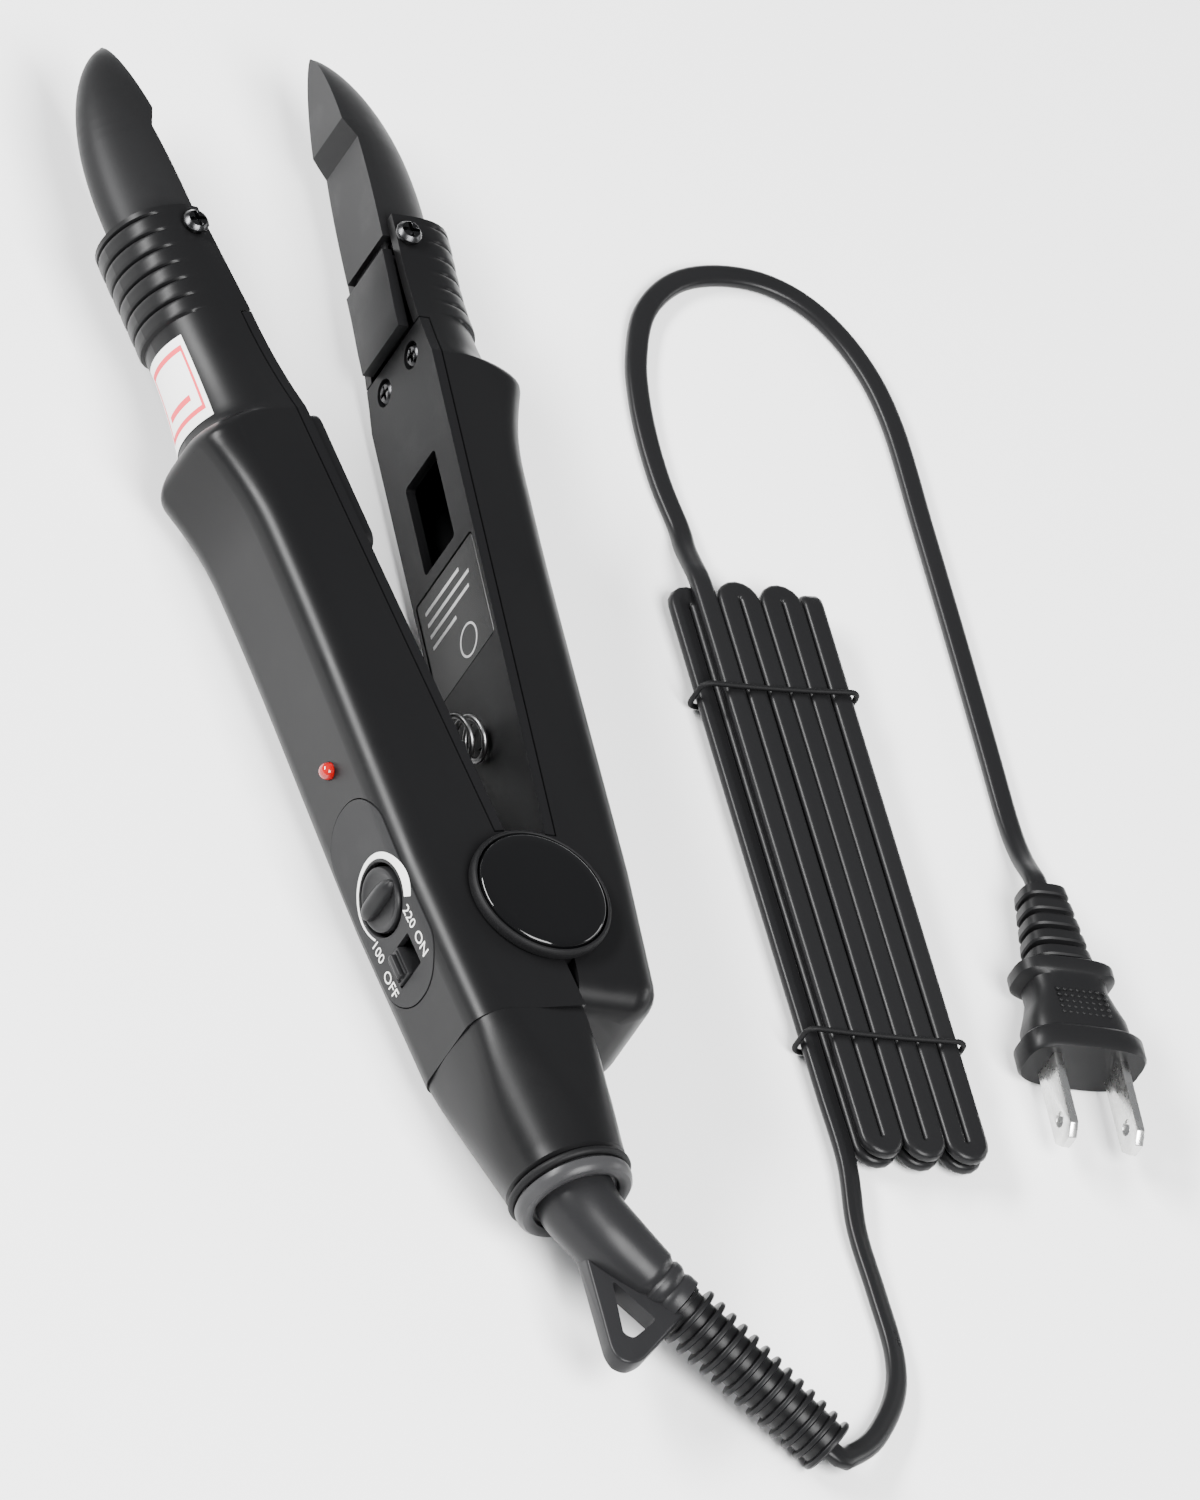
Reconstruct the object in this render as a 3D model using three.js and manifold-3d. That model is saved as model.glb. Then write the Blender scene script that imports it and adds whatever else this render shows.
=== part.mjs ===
// A hand-held hair fusion iron: two arms on one pivot, each with a heated tip, sprung open.
// It lies on its side on the cap of its pivot, with its mains lead tied in a hank beside it.
// Millimetres. X runs along the control arm to its tip, Y towards the side with the controls, and Z up
// the pivot's axis. The origin is the middle of the lower pivot cap's flat face.
import * as THREE from "three";
import Module from "manifold-3d";
import { mergeVertices } from "three/addons/utils/BufferGeometryUtils.js";

const wasm = await Module();
wasm.setup();

// ---- Driving dimensions ----
const gap = 0.3; // between pieces that touch
const wall = 2; // of the casings
const openAngle = 12.3; // degrees between the arms at rest

const armHeight = 24; // along the pivot's axis
const armEdge = 5; // radius of the long outer edges
const capProud = 3; // pivot cap above the arm's side
const controlDepth = 21.6; // inner face to outer face by the pivot
const controlShoulder = 103; // where the arm's body ends and its nose starts
const plainDepth = 21;
const plainShoulder = 117;
const plainTail = 20; // the plain arm behind the pivot
const lipFlare = 0.8; // where the body spreads before the nose
const lipRadius = 2.6;
const plainGapFront = 3.3; // plain arm's inner face short of the closing plane
const plainGapRear = 4.5;
const controlGapFront = 2.2;
const controlGapRear = 0.2;

const noseFront = 148;
const noseRadius = 9.5;
const noseCentre = 7.4; // of the round back, from the closing plane
const noseWall = 1.6;
const ribCount = 6;
const ribPitch = 3.4;
const ribHeight = 0.7;
const noseBevelDepth = 2.5;

const tipLength = 40; // proud of the nose
const tipHalfWidth = 7.3;
const tipDepth = 15;
const pressLength = 17; // the flat that presses the bond
const pressRecess = 2;
const shankLength = 20;

const lugRadius = 12.3;
const lugHeight = 6;
const pinRadius = 3;
const ringRadius = 12.9;
const capRadius = 11.7;

const barrelRadius = 10.6; // rear end of the control arm
const barrelEnd = -49;
const barrelY = 9.4;
const collarRadius = 10.4;
const collarLength = 2.6;
const ringSection = 1.5; // O-ring
const collarCup = 1.2; // floor of the cup that the neck turns in, behind the O-ring
const cupRadius = 7.6;
const collarBore = 3.4;
const stemRadius = 6.2; // inside the barrel

const panelLength = 38.6;
const panelWidth = 17.4;
const panelPlace = [8.9, 0.4]; // along X, and above the arm's middle
const panelThick = 1.2;
const knobX = 9.2;
const knobRise = 1; // above the arm's middle, as the lamp
const knobRadius = 5.6;
const knobHeight = 3.6;
const knobCup = 0.8; // ring-shaped well around the knob
const switchX = -2.7;
const slotX = 6.2; // the switch's slot, along X and along Z
const slotZ = 7.6;
const sliderZ = 3.8;
const sliderProud = 1.6;
const ledX = 35.9;
const ledRadius = 1.5;

const coverEnd = 125; // of the inner covers, towards the tip
const coverThick = 1.8;
const finX = 91.2; // alignment fin and the slot it enters
const finLength = 16.5;
const finWidth = 10.6;
const finReach = 5.3; // past the closing plane
const finPlay = 1; // in the slot, at each end
const padX = 89; // raised pad around the fin
const padSize = [28, 22];
const padRise = 2.6;

const springX = 43;
const springRadius = 4.2;
const springWire = 1;
const springTurns = 5;

const labelX = 68.5;
const labelLength = 21;
const labelWidth = 21.5;

const cordWidth = 4;
const cordThick = 2.5;
const hankLength = 121;
const hankWidth = 29;
const hankHeight = 5.4;
const hankLift = 1.5; // the ties pass under it
const hankCentre = [17, -78];
const hankAngle = -8.4; // degrees
const tieRadius = 0.5;

const bladeSpacing = 12.7;
const bladeWidth = 6.35;
const bladeThick = 1.5;
const bladeLength = 16.5;

const seatRise = 1.6; // the pins that hold the spring's ends
const boardY = controlDepth - 7.7; // inner face of the circuit board
const boardThick = 1.2;
const shaftRadius = 1.5;

// ---- Derived places ----
const midZ = capProud + armHeight / 2;
const lowZ = capProud;
const highZ = capProud + armHeight;
const capHigh = highZ + capProud;
const open = THREE.MathUtils.degToRad(openAngle);
const tipFront = noseFront + tipLength;
const knobZ = midZ + knobRise;

// ---- Materials ----
const finish = (color, roughness, metalness = 0) =>
  new THREE.MeshStandardMaterial({ color, roughness, metalness });
const casing = () => finish(0x1b1b1c, 0.5);
const gloss = () => finish(0x0c0c0d, 0.12);
const grey = () => finish(0x4a4a4c, 0.45);
const steel = () => finish(0x9a9a9c, 0.35, 1);
const rubber = () => finish(0x202021, 0.75);
const tipCoat = () => finish(0x242425, 0.4, 0.6);

// ---- Solids: three.js shapes, joined and cut by manifold-3d ----
function solid(geometry) {
  let g = geometry.clone();
  g.deleteAttribute("normal");
  g.deleteAttribute("uv");
  g = mergeVertices(g, 1e-4);
  const index = g.index.array;
  const triangles = [];
  for (let i = 0; i < index.length; i += 3) {
    const [a, b, c] = [index[i], index[i + 1], index[i + 2]];
    if (a !== b && b !== c && c !== a) triangles.push(a, b, c);
  }
  const mesh = (t) =>
    new wasm.Manifold(
      new wasm.Mesh({
        numProp: 3,
        vertProperties: g.attributes.position.array,
        triVerts: new Uint32Array(t),
      }),
    );
  const made = mesh(triangles);
  return made.volume() > 0 ? made : mesh(triangles.reverse());
}

function geometryOf(made) {
  const m = made.getMesh();
  return new THREE.BufferGeometry()
    .setAttribute("position", new THREE.BufferAttribute(m.vertProperties, 3))
    .setIndex(new THREE.BufferAttribute(m.triVerts, 1));
}

const sorted = (a, b) => [Math.min(a, b), Math.max(a, b)];
const join = (...parts) => parts.reduce((a, b) => a.add(b));
const cut = (from, ...parts) => parts.reduce((a, b) => a.subtract(b), from);

// A closed outline in X and Y, from [x, y] corners, without the doubles that meeting arcs leave.
function outline(points, side = 1) {
  const corners = points.map(([x, y]) => new THREE.Vector2(x, y * side));
  const apart = (p, i) => p.distanceTo(corners[(i + 1) % corners.length]) > 1e-3;
  const kept = corners.filter(apart);
  return new THREE.Shape(side < 0 ? kept.reverse() : kept);
}

// An outline raised from z0 to z1, its upper and lower edges rounded by radius.
function slab(shape, z0, z1, radius = 0, steps = 3) {
  const g = new THREE.ExtrudeGeometry(shape, {
    depth: z1 - z0 - 2 * radius,
    bevelEnabled: radius > 0,
    bevelThickness: radius,
    bevelSize: radius,
    bevelOffset: -radius,
    bevelSegments: steps,
    curveSegments: 5,
  });
  return solid(g.translate(0, 0, z0 + radius));
}

// A solid of revolution on an axis parallel to X: profile is [x, radius] from one end to the other.
function turnedX(profile, y, z, sides = 20) {
  const g = lathe(profile, sides);
  return solid(g.rotateZ(-Math.PI / 2).translate(0, y, z));
}

// The same on an axis parallel to Z: profile is [z, radius].
function turnedZ(profile, x, y, sides = 28) {
  return solid(lathe(profile, sides).rotateX(Math.PI / 2).translate(x, y, 0));
}

function lathe(profile, sides) {
  const points = profile.map(([along, r]) => new THREE.Vector2(r, along));
  points.unshift(new THREE.Vector2(0, profile[0][0]));
  points.push(new THREE.Vector2(0, profile[profile.length - 1][0]));
  return new THREE.LatheGeometry(points, sides);
}

const disc = (x, y, z0, z1, r, sides = 24) =>
  turnedZ(
    [
      [z0, r],
      [z1, r],
    ],
    x,
    y,
    sides,
  );

function block(x0, x1, y0, y1, z0, z1) {
  const g = new THREE.BoxGeometry(x1 - x0, y1 - y0, z1 - z0);
  return solid(g.translate((x0 + x1) / 2, (y0 + y1) / 2, (z0 + z1) / 2));
}

// A rounded rectangle of the given length along X and width along Y.
function roundedRectangle(length, width, radius) {
  const [a, b] = [length / 2 - radius, width / 2 - radius];
  const s = new THREE.Shape();
  s.absarc(a, b, radius, 0, Math.PI / 2);
  s.absarc(-a, b, radius, Math.PI / 2, Math.PI);
  s.absarc(-a, -b, radius, Math.PI, 1.5 * Math.PI);
  s.absarc(a, -b, radius, 1.5 * Math.PI, 2 * Math.PI);
  return s;
}

// A plate seen along Y: its outline lies in X and Z, and its thickness runs from y0 to y1.
function plateY(shape, x, z, y0, y1, radius = 0) {
  const g = new THREE.ExtrudeGeometry(shape, {
    depth: y1 - y0 - 2 * radius,
    bevelEnabled: radius > 0,
    bevelThickness: radius,
    bevelSize: radius,
    bevelOffset: -radius,
    bevelSegments: 1,
    curveSegments: 5,
  });
  return solid(g.translate(0, 0, radius - y1).rotateX(Math.PI / 2).translate(x, 0, z));
}

// ---- The casings ----

// An arm's outer outline from its tail to its shoulder, moved in by inset. Side is 1 or -1 in Y.
function bodyOutline({ side, shoulder, depth, tail }, inset = 0) {
  const corner = Math.max(lipRadius - inset, 0.4);
  const front = shoulder - inset;
  const top = depth - inset;
  const lip = top + lipFlare;
  const waist = depth * 0.88 - inset;
  const tailRadius = armEdge + 1.5;
  const s = new THREE.Shape();
  s.moveTo(tail + inset, -depth);
  s.lineTo(front, -depth);
  s.absarc(front - corner, lip - corner, corner, 0, Math.PI * 0.6);
  s.bezierCurveTo(front - 9, waist + 1.6, front - 14, waist, front - 22, waist);
  s.bezierCurveTo(front - 45, waist, 40, top - 1, 10, top);
  s.lineTo(tail + inset + tailRadius, top);
  s.absarc(tail + inset + tailRadius, top - tailRadius, tailRadius, Math.PI / 2, Math.PI);
  return outline(s.getPoints(4).map((p) => [p.x, p.y]), side);
}

const controlArm = { side: 1, shoulder: controlShoulder, depth: controlDepth, tail: barrelEnd };
const plainArm = { side: -1, shoulder: plainShoulder, depth: plainDepth, tail: -plainTail };

// A solid through outlines with as many corners each, one above the other: levels are [outline, z].
function stacked(levels) {
  const rings = levels.map(([shape]) => shape.getPoints(1));
  const count = rings[0].length;
  const position = levels.flatMap(([, z], i) => rings[i].flatMap((p) => [p.x, p.y, z]));
  const index = [];
  for (let k = 0; k + 1 < levels.length; k++) {
    for (let i = 0; i < count; i++) {
      const [a, b] = [k * count + i, k * count + ((i + 1) % count)];
      index.push(a, b, b + count, a, b + count, a + count);
    }
  }
  const last = (levels.length - 1) * count;
  for (const [a, b, c] of THREE.ShapeUtils.triangulateShape(rings[0], [])) index.push(c, b, a);
  for (const [a, b, c] of THREE.ShapeUtils.triangulateShape(rings[levels.length - 1], [])) {
    index.push(last + a, last + b, last + c);
  }
  const g = new THREE.BufferGeometry().setIndex(index);
  return g.setAttribute("position", new THREE.Float32BufferAttribute(position, 3));
}

// The body of an arm, solid, moved in by inset all round, its long outer edges rounded.
function bodySolid(arm, inset = 0) {
  const radius = Math.max(armEdge - inset, 0.5);
  const steps = inset ? 1 : 3;
  const levels = [];
  for (let i = 0; i <= steps; i++) {
    const a = (i / steps) * (Math.PI / 2);
    levels.push([bodyOutline(arm, inset + radius * (1 - Math.sin(a))), radius * (1 - Math.cos(a))]);
  }
  const upper = levels.map(([shape, rise]) => [shape, highZ - inset - rise]).reverse();
  const lower = levels.map(([shape, rise]) => [shape, lowZ + inset + rise]);
  return solid(stacked([...lower, ...upper]));
}

// The nose: flat sides towards the closing plane and a round, ribbed back.
function noseSolid({ side, shoulder }, inset = 0, ribs = true) {
  const radius = (x) => {
    const t = THREE.MathUtils.clamp((shoulder + 22 - x) / 22, 0, 1);
    return noseRadius - inset + t * t * (armHeight / 2 - noseRadius);
  };
  const start = shoulder - wall - 6 + inset;
  const stations = [start, shoulder, shoulder + 5, shoulder + 10, shoulder + 16];
  const profile = stations.map((x) => [x, radius(x)]);
  const edges = [...profile, [noseFront + inset, radius(noseFront)]];
  const flat = new THREE.Shape([
    ...edges.map(([x, r]) => new THREE.Vector2(x, r)),
    ...edges.reverse().map(([x, r]) => new THREE.Vector2(x, -r)),
  ]);
  const sides = inset ? 12 : 20;
  const smooth = join(
    turnedX(profile.concat([[noseFront + inset, radius(noseFront)]]), side * noseCentre, midZ, sides),
    plateY(flat, 0, midZ, ...sorted(-side * 5, side * noseCentre)),
  );
  return ribs ? smooth.add(noseRibs(side)) : smooth;
}

// The bevel of a nose's inner edge, up or down, that grows from its root: taken off the nose.
function noseBevel({ side }, up, inset = 0) {
  const [y0, y1] = [side * (noseCentre - 1.6), -side * 1.5];
  const sectionOf = (size) => {
    const r = noseRadius - inset + 0.02;
    const corners = [[y0, r], [y1, r - size * noseBevelDepth], [y1, r + 9], [y0, r + 9]];
    const section = corners.map(([y, z]) => [y, z * up]);
    return outline(side * up < 0 ? section : section.reverse());
  };
  const made = stacked([
    [sectionOf(0), coverEnd + 1],
    [sectionOf(1), noseFront + 1],
  ]);
  const basis = new THREE.Matrix4().makeBasis(
    new THREE.Vector3(0, 1, 0), new THREE.Vector3(0, 0, 1), new THREE.Vector3(1, 0, 0),
  );
  return solid(made.applyMatrix4(basis.setPosition(0, 0, midZ)));
}

// Half-round ribs on the nose's back, short of its flat sides.
function noseRibs(side) {
  const profile = [];
  for (let i = 0; i < ribCount; i++) {
    const x = noseFront - (ribCount - i) * ribPitch;
    const top = noseRadius + ribHeight;
    profile.push([x, noseRadius - 1], [x + 0.6, top], [x + ribPitch - 1, top]);
    profile.push([x + ribPitch - 0.4, noseRadius - 1]);
  }
  const back = block(0, 200, ...sorted(side * (noseCentre + 2), side * 40), -20, 60);
  return turnedX(profile, side * noseCentre, midZ).intersect(back);
}

// Everything on the far side of an arm's inner face, which runs from [x0, y0] to [x1, y1].
function innerSpace(side, [x0, y0], [x1, y1]) {
  const slope = (y1 - y0) / (x1 - x0);
  const at = (x) => y0 + slope * (x - x0);
  const far = -side * 60;
  const corners = [
    [-80, far],
    [240, far],
    [240, at(240)],
    [-80, at(-80)],
  ];
  return slab(outline(corners), -20, 60);
}

const controlFace = [[0, controlGapRear], [noseFront, controlGapFront]];
const controlFaceAt = (x) =>
  controlGapRear + ((controlGapFront - controlGapRear) * x) / noseFront;
const plainFace = [[0, -plainGapRear], [noseFront, -plainGapFront]];
const plainFaceAt = (x) => -plainGapRear + ((plainGapRear - plainGapFront) * x) / noseFront;

const coverStart = lugRadius + 2;
const noseEdges = ({ side }) => (side > 0 ? [1, -1] : [-1]); // the inner edges that are bevelled
const outerSolid = (arm) =>
  cut(join(bodySolid(arm), noseSolid(arm)), ...noseEdges(arm).map((up) => noseBevel(arm, up)));

// The space inside an arm's casing, from its cover's start to the mouth of its nose.
function hollow(arm) {
  const { shoulder } = arm;
  const body = bodySolid(arm, wall).intersect(
    block(coverStart, shoulder - wall, -60, 60, -20, 60),
  );
  const nose = noseSolid(arm, noseWall, false).intersect(
    block(shoulder - wall - 1, noseFront + 5, -60, 60, -20, 60),
  );
  const bevels = noseEdges(arm).map((up) => noseBevel(arm, up, noseWall));
  const mouth = tipSolid([[noseFront - 3, tipHalfWidth + gap], [noseFront + 1, tipHalfWidth + gap]]);
  return join(body, cut(nose, ...bevels), mouth);
}

// A tip's oval solid about the closing plane: profile is [x, half-width].
const tipSolid = (profile) =>
  solid(
    lathe(profile, 28)
      .rotateZ(-Math.PI / 2)
      .scale(1, tipDepth / tipHalfWidth, 1)
      .translate(0, 0, midZ),
  );

// A layer over an arm's inner face as far as the cover reaches, grown by more all round.
function coverLayer({ side }, face, more) {
  const [x0, x1] = [coverStart - more, coverEnd + more];
  const inner = (x) => face(x) - side * 5;
  const outer = (x) => face(x) + side * (coverThick + more);
  return slab(outline([[x0, inner(x0)], [x1, inner(x1)], [x1, outer(x1)], [x0, outer(x0)]]), -20, 60);
}

// A round solid on an axis parallel to Y, through [x, z].
function turnedY(x, z, y0, y1, radius, sides = 24) {
  const g = new THREE.CylinderGeometry(radius, radius, y1 - y0, sides);
  return solid(g.translate(x, (y0 + y1) / 2, z));
}

// Turns a piece made along +X so that it runs from one point towards another.
function along(from, to) {
  const a = new THREE.Vector3(...from);
  const direction = new THREE.Vector3(...to).sub(a).normalize();
  const up = new THREE.Vector3(0, 0, 1);
  const across = up.cross(direction).normalize();
  const top = direction.clone().cross(across);
  return new THREE.Matrix4().makeBasis(direction, across, top).setPosition(a);
}

const moved = (made, matrix) => solid(geometryOf(made).applyMatrix4(matrix));

// ---- The assembly ----
const root = new THREE.Group();
const plain = new THREE.Group(); // the plain arm's own frame, turned about the pivot
plain.rotation.z = -open;
root.add(plain);

function add(group, name, made, material, place) {
  const mesh = new THREE.Mesh(geometryOf(made), material);
  mesh.name = name;
  if (place) mesh.applyMatrix4(place);
  group.add(mesh);
}

const everywhere = [-60, 60, -20, 60]; // wide limits in Y and Z

function controlArmPieces() {
  const outer = bodySolid(controlArm);
  const rearProfile = [
    [barrelEnd, barrelRadius],
    [-23, 14.9],
    [-23, 40],
    [controlShoulder + 5, 40],
  ];
  const barrelProfile = [
    [barrelEnd, barrelRadius],
    [-36, 11.6],
    [-plainTail - 2, 12],
    [-lugRadius, 12],
  ];
  const y = controlFaceAt;
  const whole = cut(outerSolid(controlArm), innerSpace(1, ...controlFace));
  const layer = coverLayer(controlArm, y, gap);
  const front = cut(whole.intersect(block(-18, 200, ...everywhere)), layer);
  const rear = join(
    turnedX(barrelProfile, barrelY, midZ, 40),
    cut(
      outer.intersect(turnedX(rearProfile, barrelY, midZ, 40)),
      block(-60, 0, -60, controlGapRear, -20, 60),
    ),
  ).intersect(block(-60, -17, ...everywhere));
  const lugs = [
    disc(0, 0, lowZ, lowZ + lugHeight, lugRadius),
    disc(0, 0, highZ - lugHeight, highZ, lugRadius),
  ];
  const rearSpace = join(
    bodySolid(controlArm, wall).intersect(block(-18, coverStart + 1, 13.6, 60, -20, 60)),
    turnedX([[barrelEnd - 3, 6.5], [-44, 8], [-16, 8.5]], barrelY, midZ, 24),
  );
  const panelPocket = cut(panelPrism(gap), bodySolid(controlArm, panelThick + gap));
  const shell = cut(
    join(front, cut(rear, block(-plainTail - 2.8, 0, -60, 0.2, -20, 60)), ...lugs),
    hollow(controlArm),
    rearSpace,
    disc(0, 0, lowZ + lugHeight, highZ - lugHeight, lugRadius - 0.7),
    disc(0, 0, -5, 40, pinRadius + gap, 20),
    panelPocket,
    plateY(roundedRectangle(panelLength - 8, panelWidth - 4, 2), panelPlace[0], midZ, boardY - 0.9, 60),
    turnedY(knobX, knobZ, boardY, 60, knobRadius + gap),
    turnedY(ledX, knobZ, 10, 60, ledRadius + gap, 16),
    noseScrewHole(controlArm),
  );
  add(root, "control_shell", shell, casing());

  const [pad, fin] = [roundedRectangle(...padSize, 2.5), roundedRectangle(finLength, finWidth, 1)];
  const cover = join(
    whole.intersect(coverLayer(controlArm, y, 0)),
    plateY(pad, padX, midZ, y(padX) - padRise, y(padX) + 0.7),
    plateY(fin, finX, midZ, -finReach, y(finX) + 0.5, 0.8),
    turnedY(springX, midZ, y(springX) - seatRise, y(springX) + 0.5, springRadius - springWire - 0.6),
  );
  add(root, "control_inner_cover", cut(cover, ...coverScrewHoles(controlArm, y)), casing());
  headPieces(root, controlArm, "control", y);
}

const panelPrism = (grow) =>
  plateY(
    roundedRectangle(panelLength + 2 * grow, panelWidth + 2 * grow, panelWidth / 2 - 0.5 + grow),
    panelPlace[0],
    midZ + panelPlace[1],
    8,
    60,
  );

function plainArmPieces() {
  const y = plainFaceAt;
  const knuckle = disc(0, 0, lowZ + lugHeight + gap, highZ - lugHeight - gap, lugRadius - 1);
  const whole = cut(outerSolid(plainArm), innerSpace(-1, ...plainFace));
  const body = cut(
    whole,
    coverLayer(plainArm, y, gap),
    disc(0, 0, -5, lowZ + lugHeight + gap, lugRadius + gap),
    disc(0, 0, highZ - lugHeight - gap, 40, lugRadius + gap),
  );
  const shell = cut(
    join(body, knuckle),
    hollow(plainArm),
    disc(0, 0, -5, 40, pinRadius + gap, 20),
    noseScrewHole(plainArm),
  );
  add(plain, "plain_shell", shell, casing());

  const cover = join(
    whole.intersect(coverLayer(plainArm, y, 0)),
    turnedY(springX, midZ, y(springX) - 0.5, y(springX) + seatRise, springRadius - springWire - 0.6),
  );
  const opening = roundedRectangle(finLength + 2 * finPlay, finWidth + finPlay, 0.8);
  const slot = plateY(opening, finX, midZ, -20, 5);
  const labelPocket = plateY(
    roundedRectangle(labelLength + 2 * gap, labelWidth + 2 * gap, 0.9),
    labelX,
    midZ,
    y(labelX) - 0.5,
    5,
  );
  const screwHoles = coverScrewHoles(plainArm, y);
  add(plain, "plain_inner_cover", cut(cover, slot, labelPocket, ...screwHoles), casing());
  const label = roundedRectangle(labelLength, labelWidth, 0.6);
  const faceSpace = innerSpace(-1, ...plainFace);
  const plate = plateY(label, labelX, midZ, y(labelX) - 0.5 + 0.15, 5);
  add(plain, "rating_label", cut(plate, faceSpace), gloss());
  headPieces(plain, plainArm, "plain", y);
}

const noseScrewX = noseFront - 4.4;
const noseScrewY = 5.4;
const noseScrewShank = 1.4;
const noseScrewHole = ({ side }) =>
  disc(noseScrewX, side * noseScrewY, midZ, 60, noseScrewShank + gap, 12);

const coverScrewRadius = 2.2;
const coverScrewSink = 1.3;
const coverScrewPlaces = [[coverEnd - 4.2, midZ + 5.3], [coverEnd - 4.2, midZ - 5.3]];

const coverScrewHoles = ({ side }, face) =>
  coverScrewPlaces.flatMap(([x, z]) => {
    const seat = face(x) + side * (coverScrewSink + gap / 2);
    return [
      turnedY(x, z, ...sorted(-side * 10, seat), coverScrewRadius + gap, 16),
      turnedY(x, z, -20, 20, 1 + gap, 8),
    ];
  });

// A cross-head screw standing on its head's seat at the origin, its axis along Z.
function screw(headRadius, headHeight, shankRadius, length) {
  const rim = headHeight * 0.5;
  const body = join(
    turnedZ([[0, headRadius], [rim, headRadius], [headHeight, headRadius * 0.7]], 0, 0, 12),
    disc(0, 0, -length, 0.1, shankRadius, 8),
  );
  const reach = headRadius * 0.62;
  const half = headRadius * 0.15;
  const floor = headHeight * 0.35;
  return cut(
    body,
    block(-reach, reach, -half, half, floor, headHeight + 1),
    block(-half, half, -reach, reach, floor, headHeight + 1),
  );
}

// What an arm carries at its front: tip, heater, screws, bracket and heater lead.
function headPieces(group, arm, name, face) {
  const { side } = arm;
  const tipAt = (x) => {
    const t = Math.max(0, (x - noseFront) / tipLength);
    return tipHalfWidth * (1 - Math.min(t, 1) ** 3.2);
  };
  const profile = [[noseFront - 2, tipHalfWidth]];
  for (let i = 0; i <= 9; i++) {
    const x = noseFront + tipLength * Math.sin((i / 9) * 1.45) / Math.sin(1.45);
    profile.push([x, Math.max(tipAt(x), 0.35)]);
  }
  const pad = gap / 2;
  const root0 = noseFront - 10;
  const innerEdge = [
    [root0, -side * 40],
    [240, -side * 40],
    [240, side * pad],
    [tipFront - pressLength, side * pad],
    [tipFront - pressLength - 4, side * (pad + pressRecess)],
    [root0, side * (pad + pressRecess)],
  ];
  const shank = block(
    noseFront - shankLength, noseFront - 1, ...sorted(side * 3.2, side * 12.2), midZ - 5.5, midZ + 5.5,
  );
  const tip = cut(
    join(cut(tipSolid(profile), slab(outline(innerEdge), -20, 60)), shank),
    block(0, noseFront - 8, ...sorted(side * 6.2, side * 9.4), midZ - 3.8, midZ + 3.8),
    disc(noseScrewX, side * noseScrewY, midZ - 1.5, 60, noseScrewShank + gap, 12),
  );
  add(group, name + "_tip", tip, tipCoat());

  const heater = block(
    noseFront - shankLength - 3, noseFront - 8 - gap,
    ...sorted(side * (6.2 + gap), side * (9.4 - gap)), midZ - 3.5, midZ + 3.5,
  );
  add(group, name + "_heater", heater, finish(0xd9d4c8, 0.7));

  const screwPlace = new THREE.Matrix4().setPosition(
    noseScrewX, side * noseScrewY, midZ + noseRadius + gap,
  );
  const noseScrew = screw(2.4, 1.5, noseScrewShank, noseRadius - 0.6);
  add(group, name + "_nose_screw", noseScrew, steel(), screwPlace);

  coverScrewPlaces.forEach(([x, z], i) => {
    const y = face(x) + side * coverScrewSink;
    const place = new THREE.Matrix4()
      .makeRotationX(side * Math.PI / 2)
      .setPosition(x, y, z);
    add(group, name + "_cover_screw_" + (i + 1), screw(coverScrewRadius, 1.3, 1, 6), steel(), place);
  });

  // The bracket: two cheeks beside the tip's root, and a ramped bar across it.
  const [x0, x1] = [noseFront - 22.5, noseFront - 6];
  const ramp = [
    [x0, side * 3.2],
    [x0, -side * 1.2 * bracketRise(side)],
    [x0 + 4.5, -side * 1.2 * bracketRise(side)],
    [x0 + 12, side * 1.4],
    [x1, side * 1.4],
    [x1, side * 3.2],
  ];
  const half = side > 0 ? 5.1 : 7.2;
  add(group, name + "_heat_bracket", slab(outline(ramp), midZ - half, midZ + half), casing());

  const leadPath = new THREE.CatmullRomCurve3(
    [
      [noseFront - shankLength - 3.5, 7.8],
      [coverEnd - 20, 8.6],
      [coverEnd - 45, 9.4],
      [springX + 6, 10],
    ].map(([x, y]) => new THREE.Vector3(x, side * y, midZ)),
  );
  add(group, name + "_heater_lead", tube(leadPath, 1.2, 1.2, 10, 6), rubber());
}

const bracketRise = (side) => (side > 0 ? 0 : -1);

// A tube of an oval section, rx across and ry upright, along a curve.
function tube(path, rx, ry, steps, sides) {
  const s = new THREE.Shape();
  for (let i = 0; i < sides; i++) {
    const a = (2 * Math.PI * (i + 0.5)) / sides;
    const p = [rx * Math.cos(a), ry * Math.sin(a)];
    if (i) s.lineTo(...p);
    else s.moveTo(...p);
  }
  return solid(new THREE.ExtrudeGeometry(s, { steps, bevelEnabled: false, extrudePath: path }));
}

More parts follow.
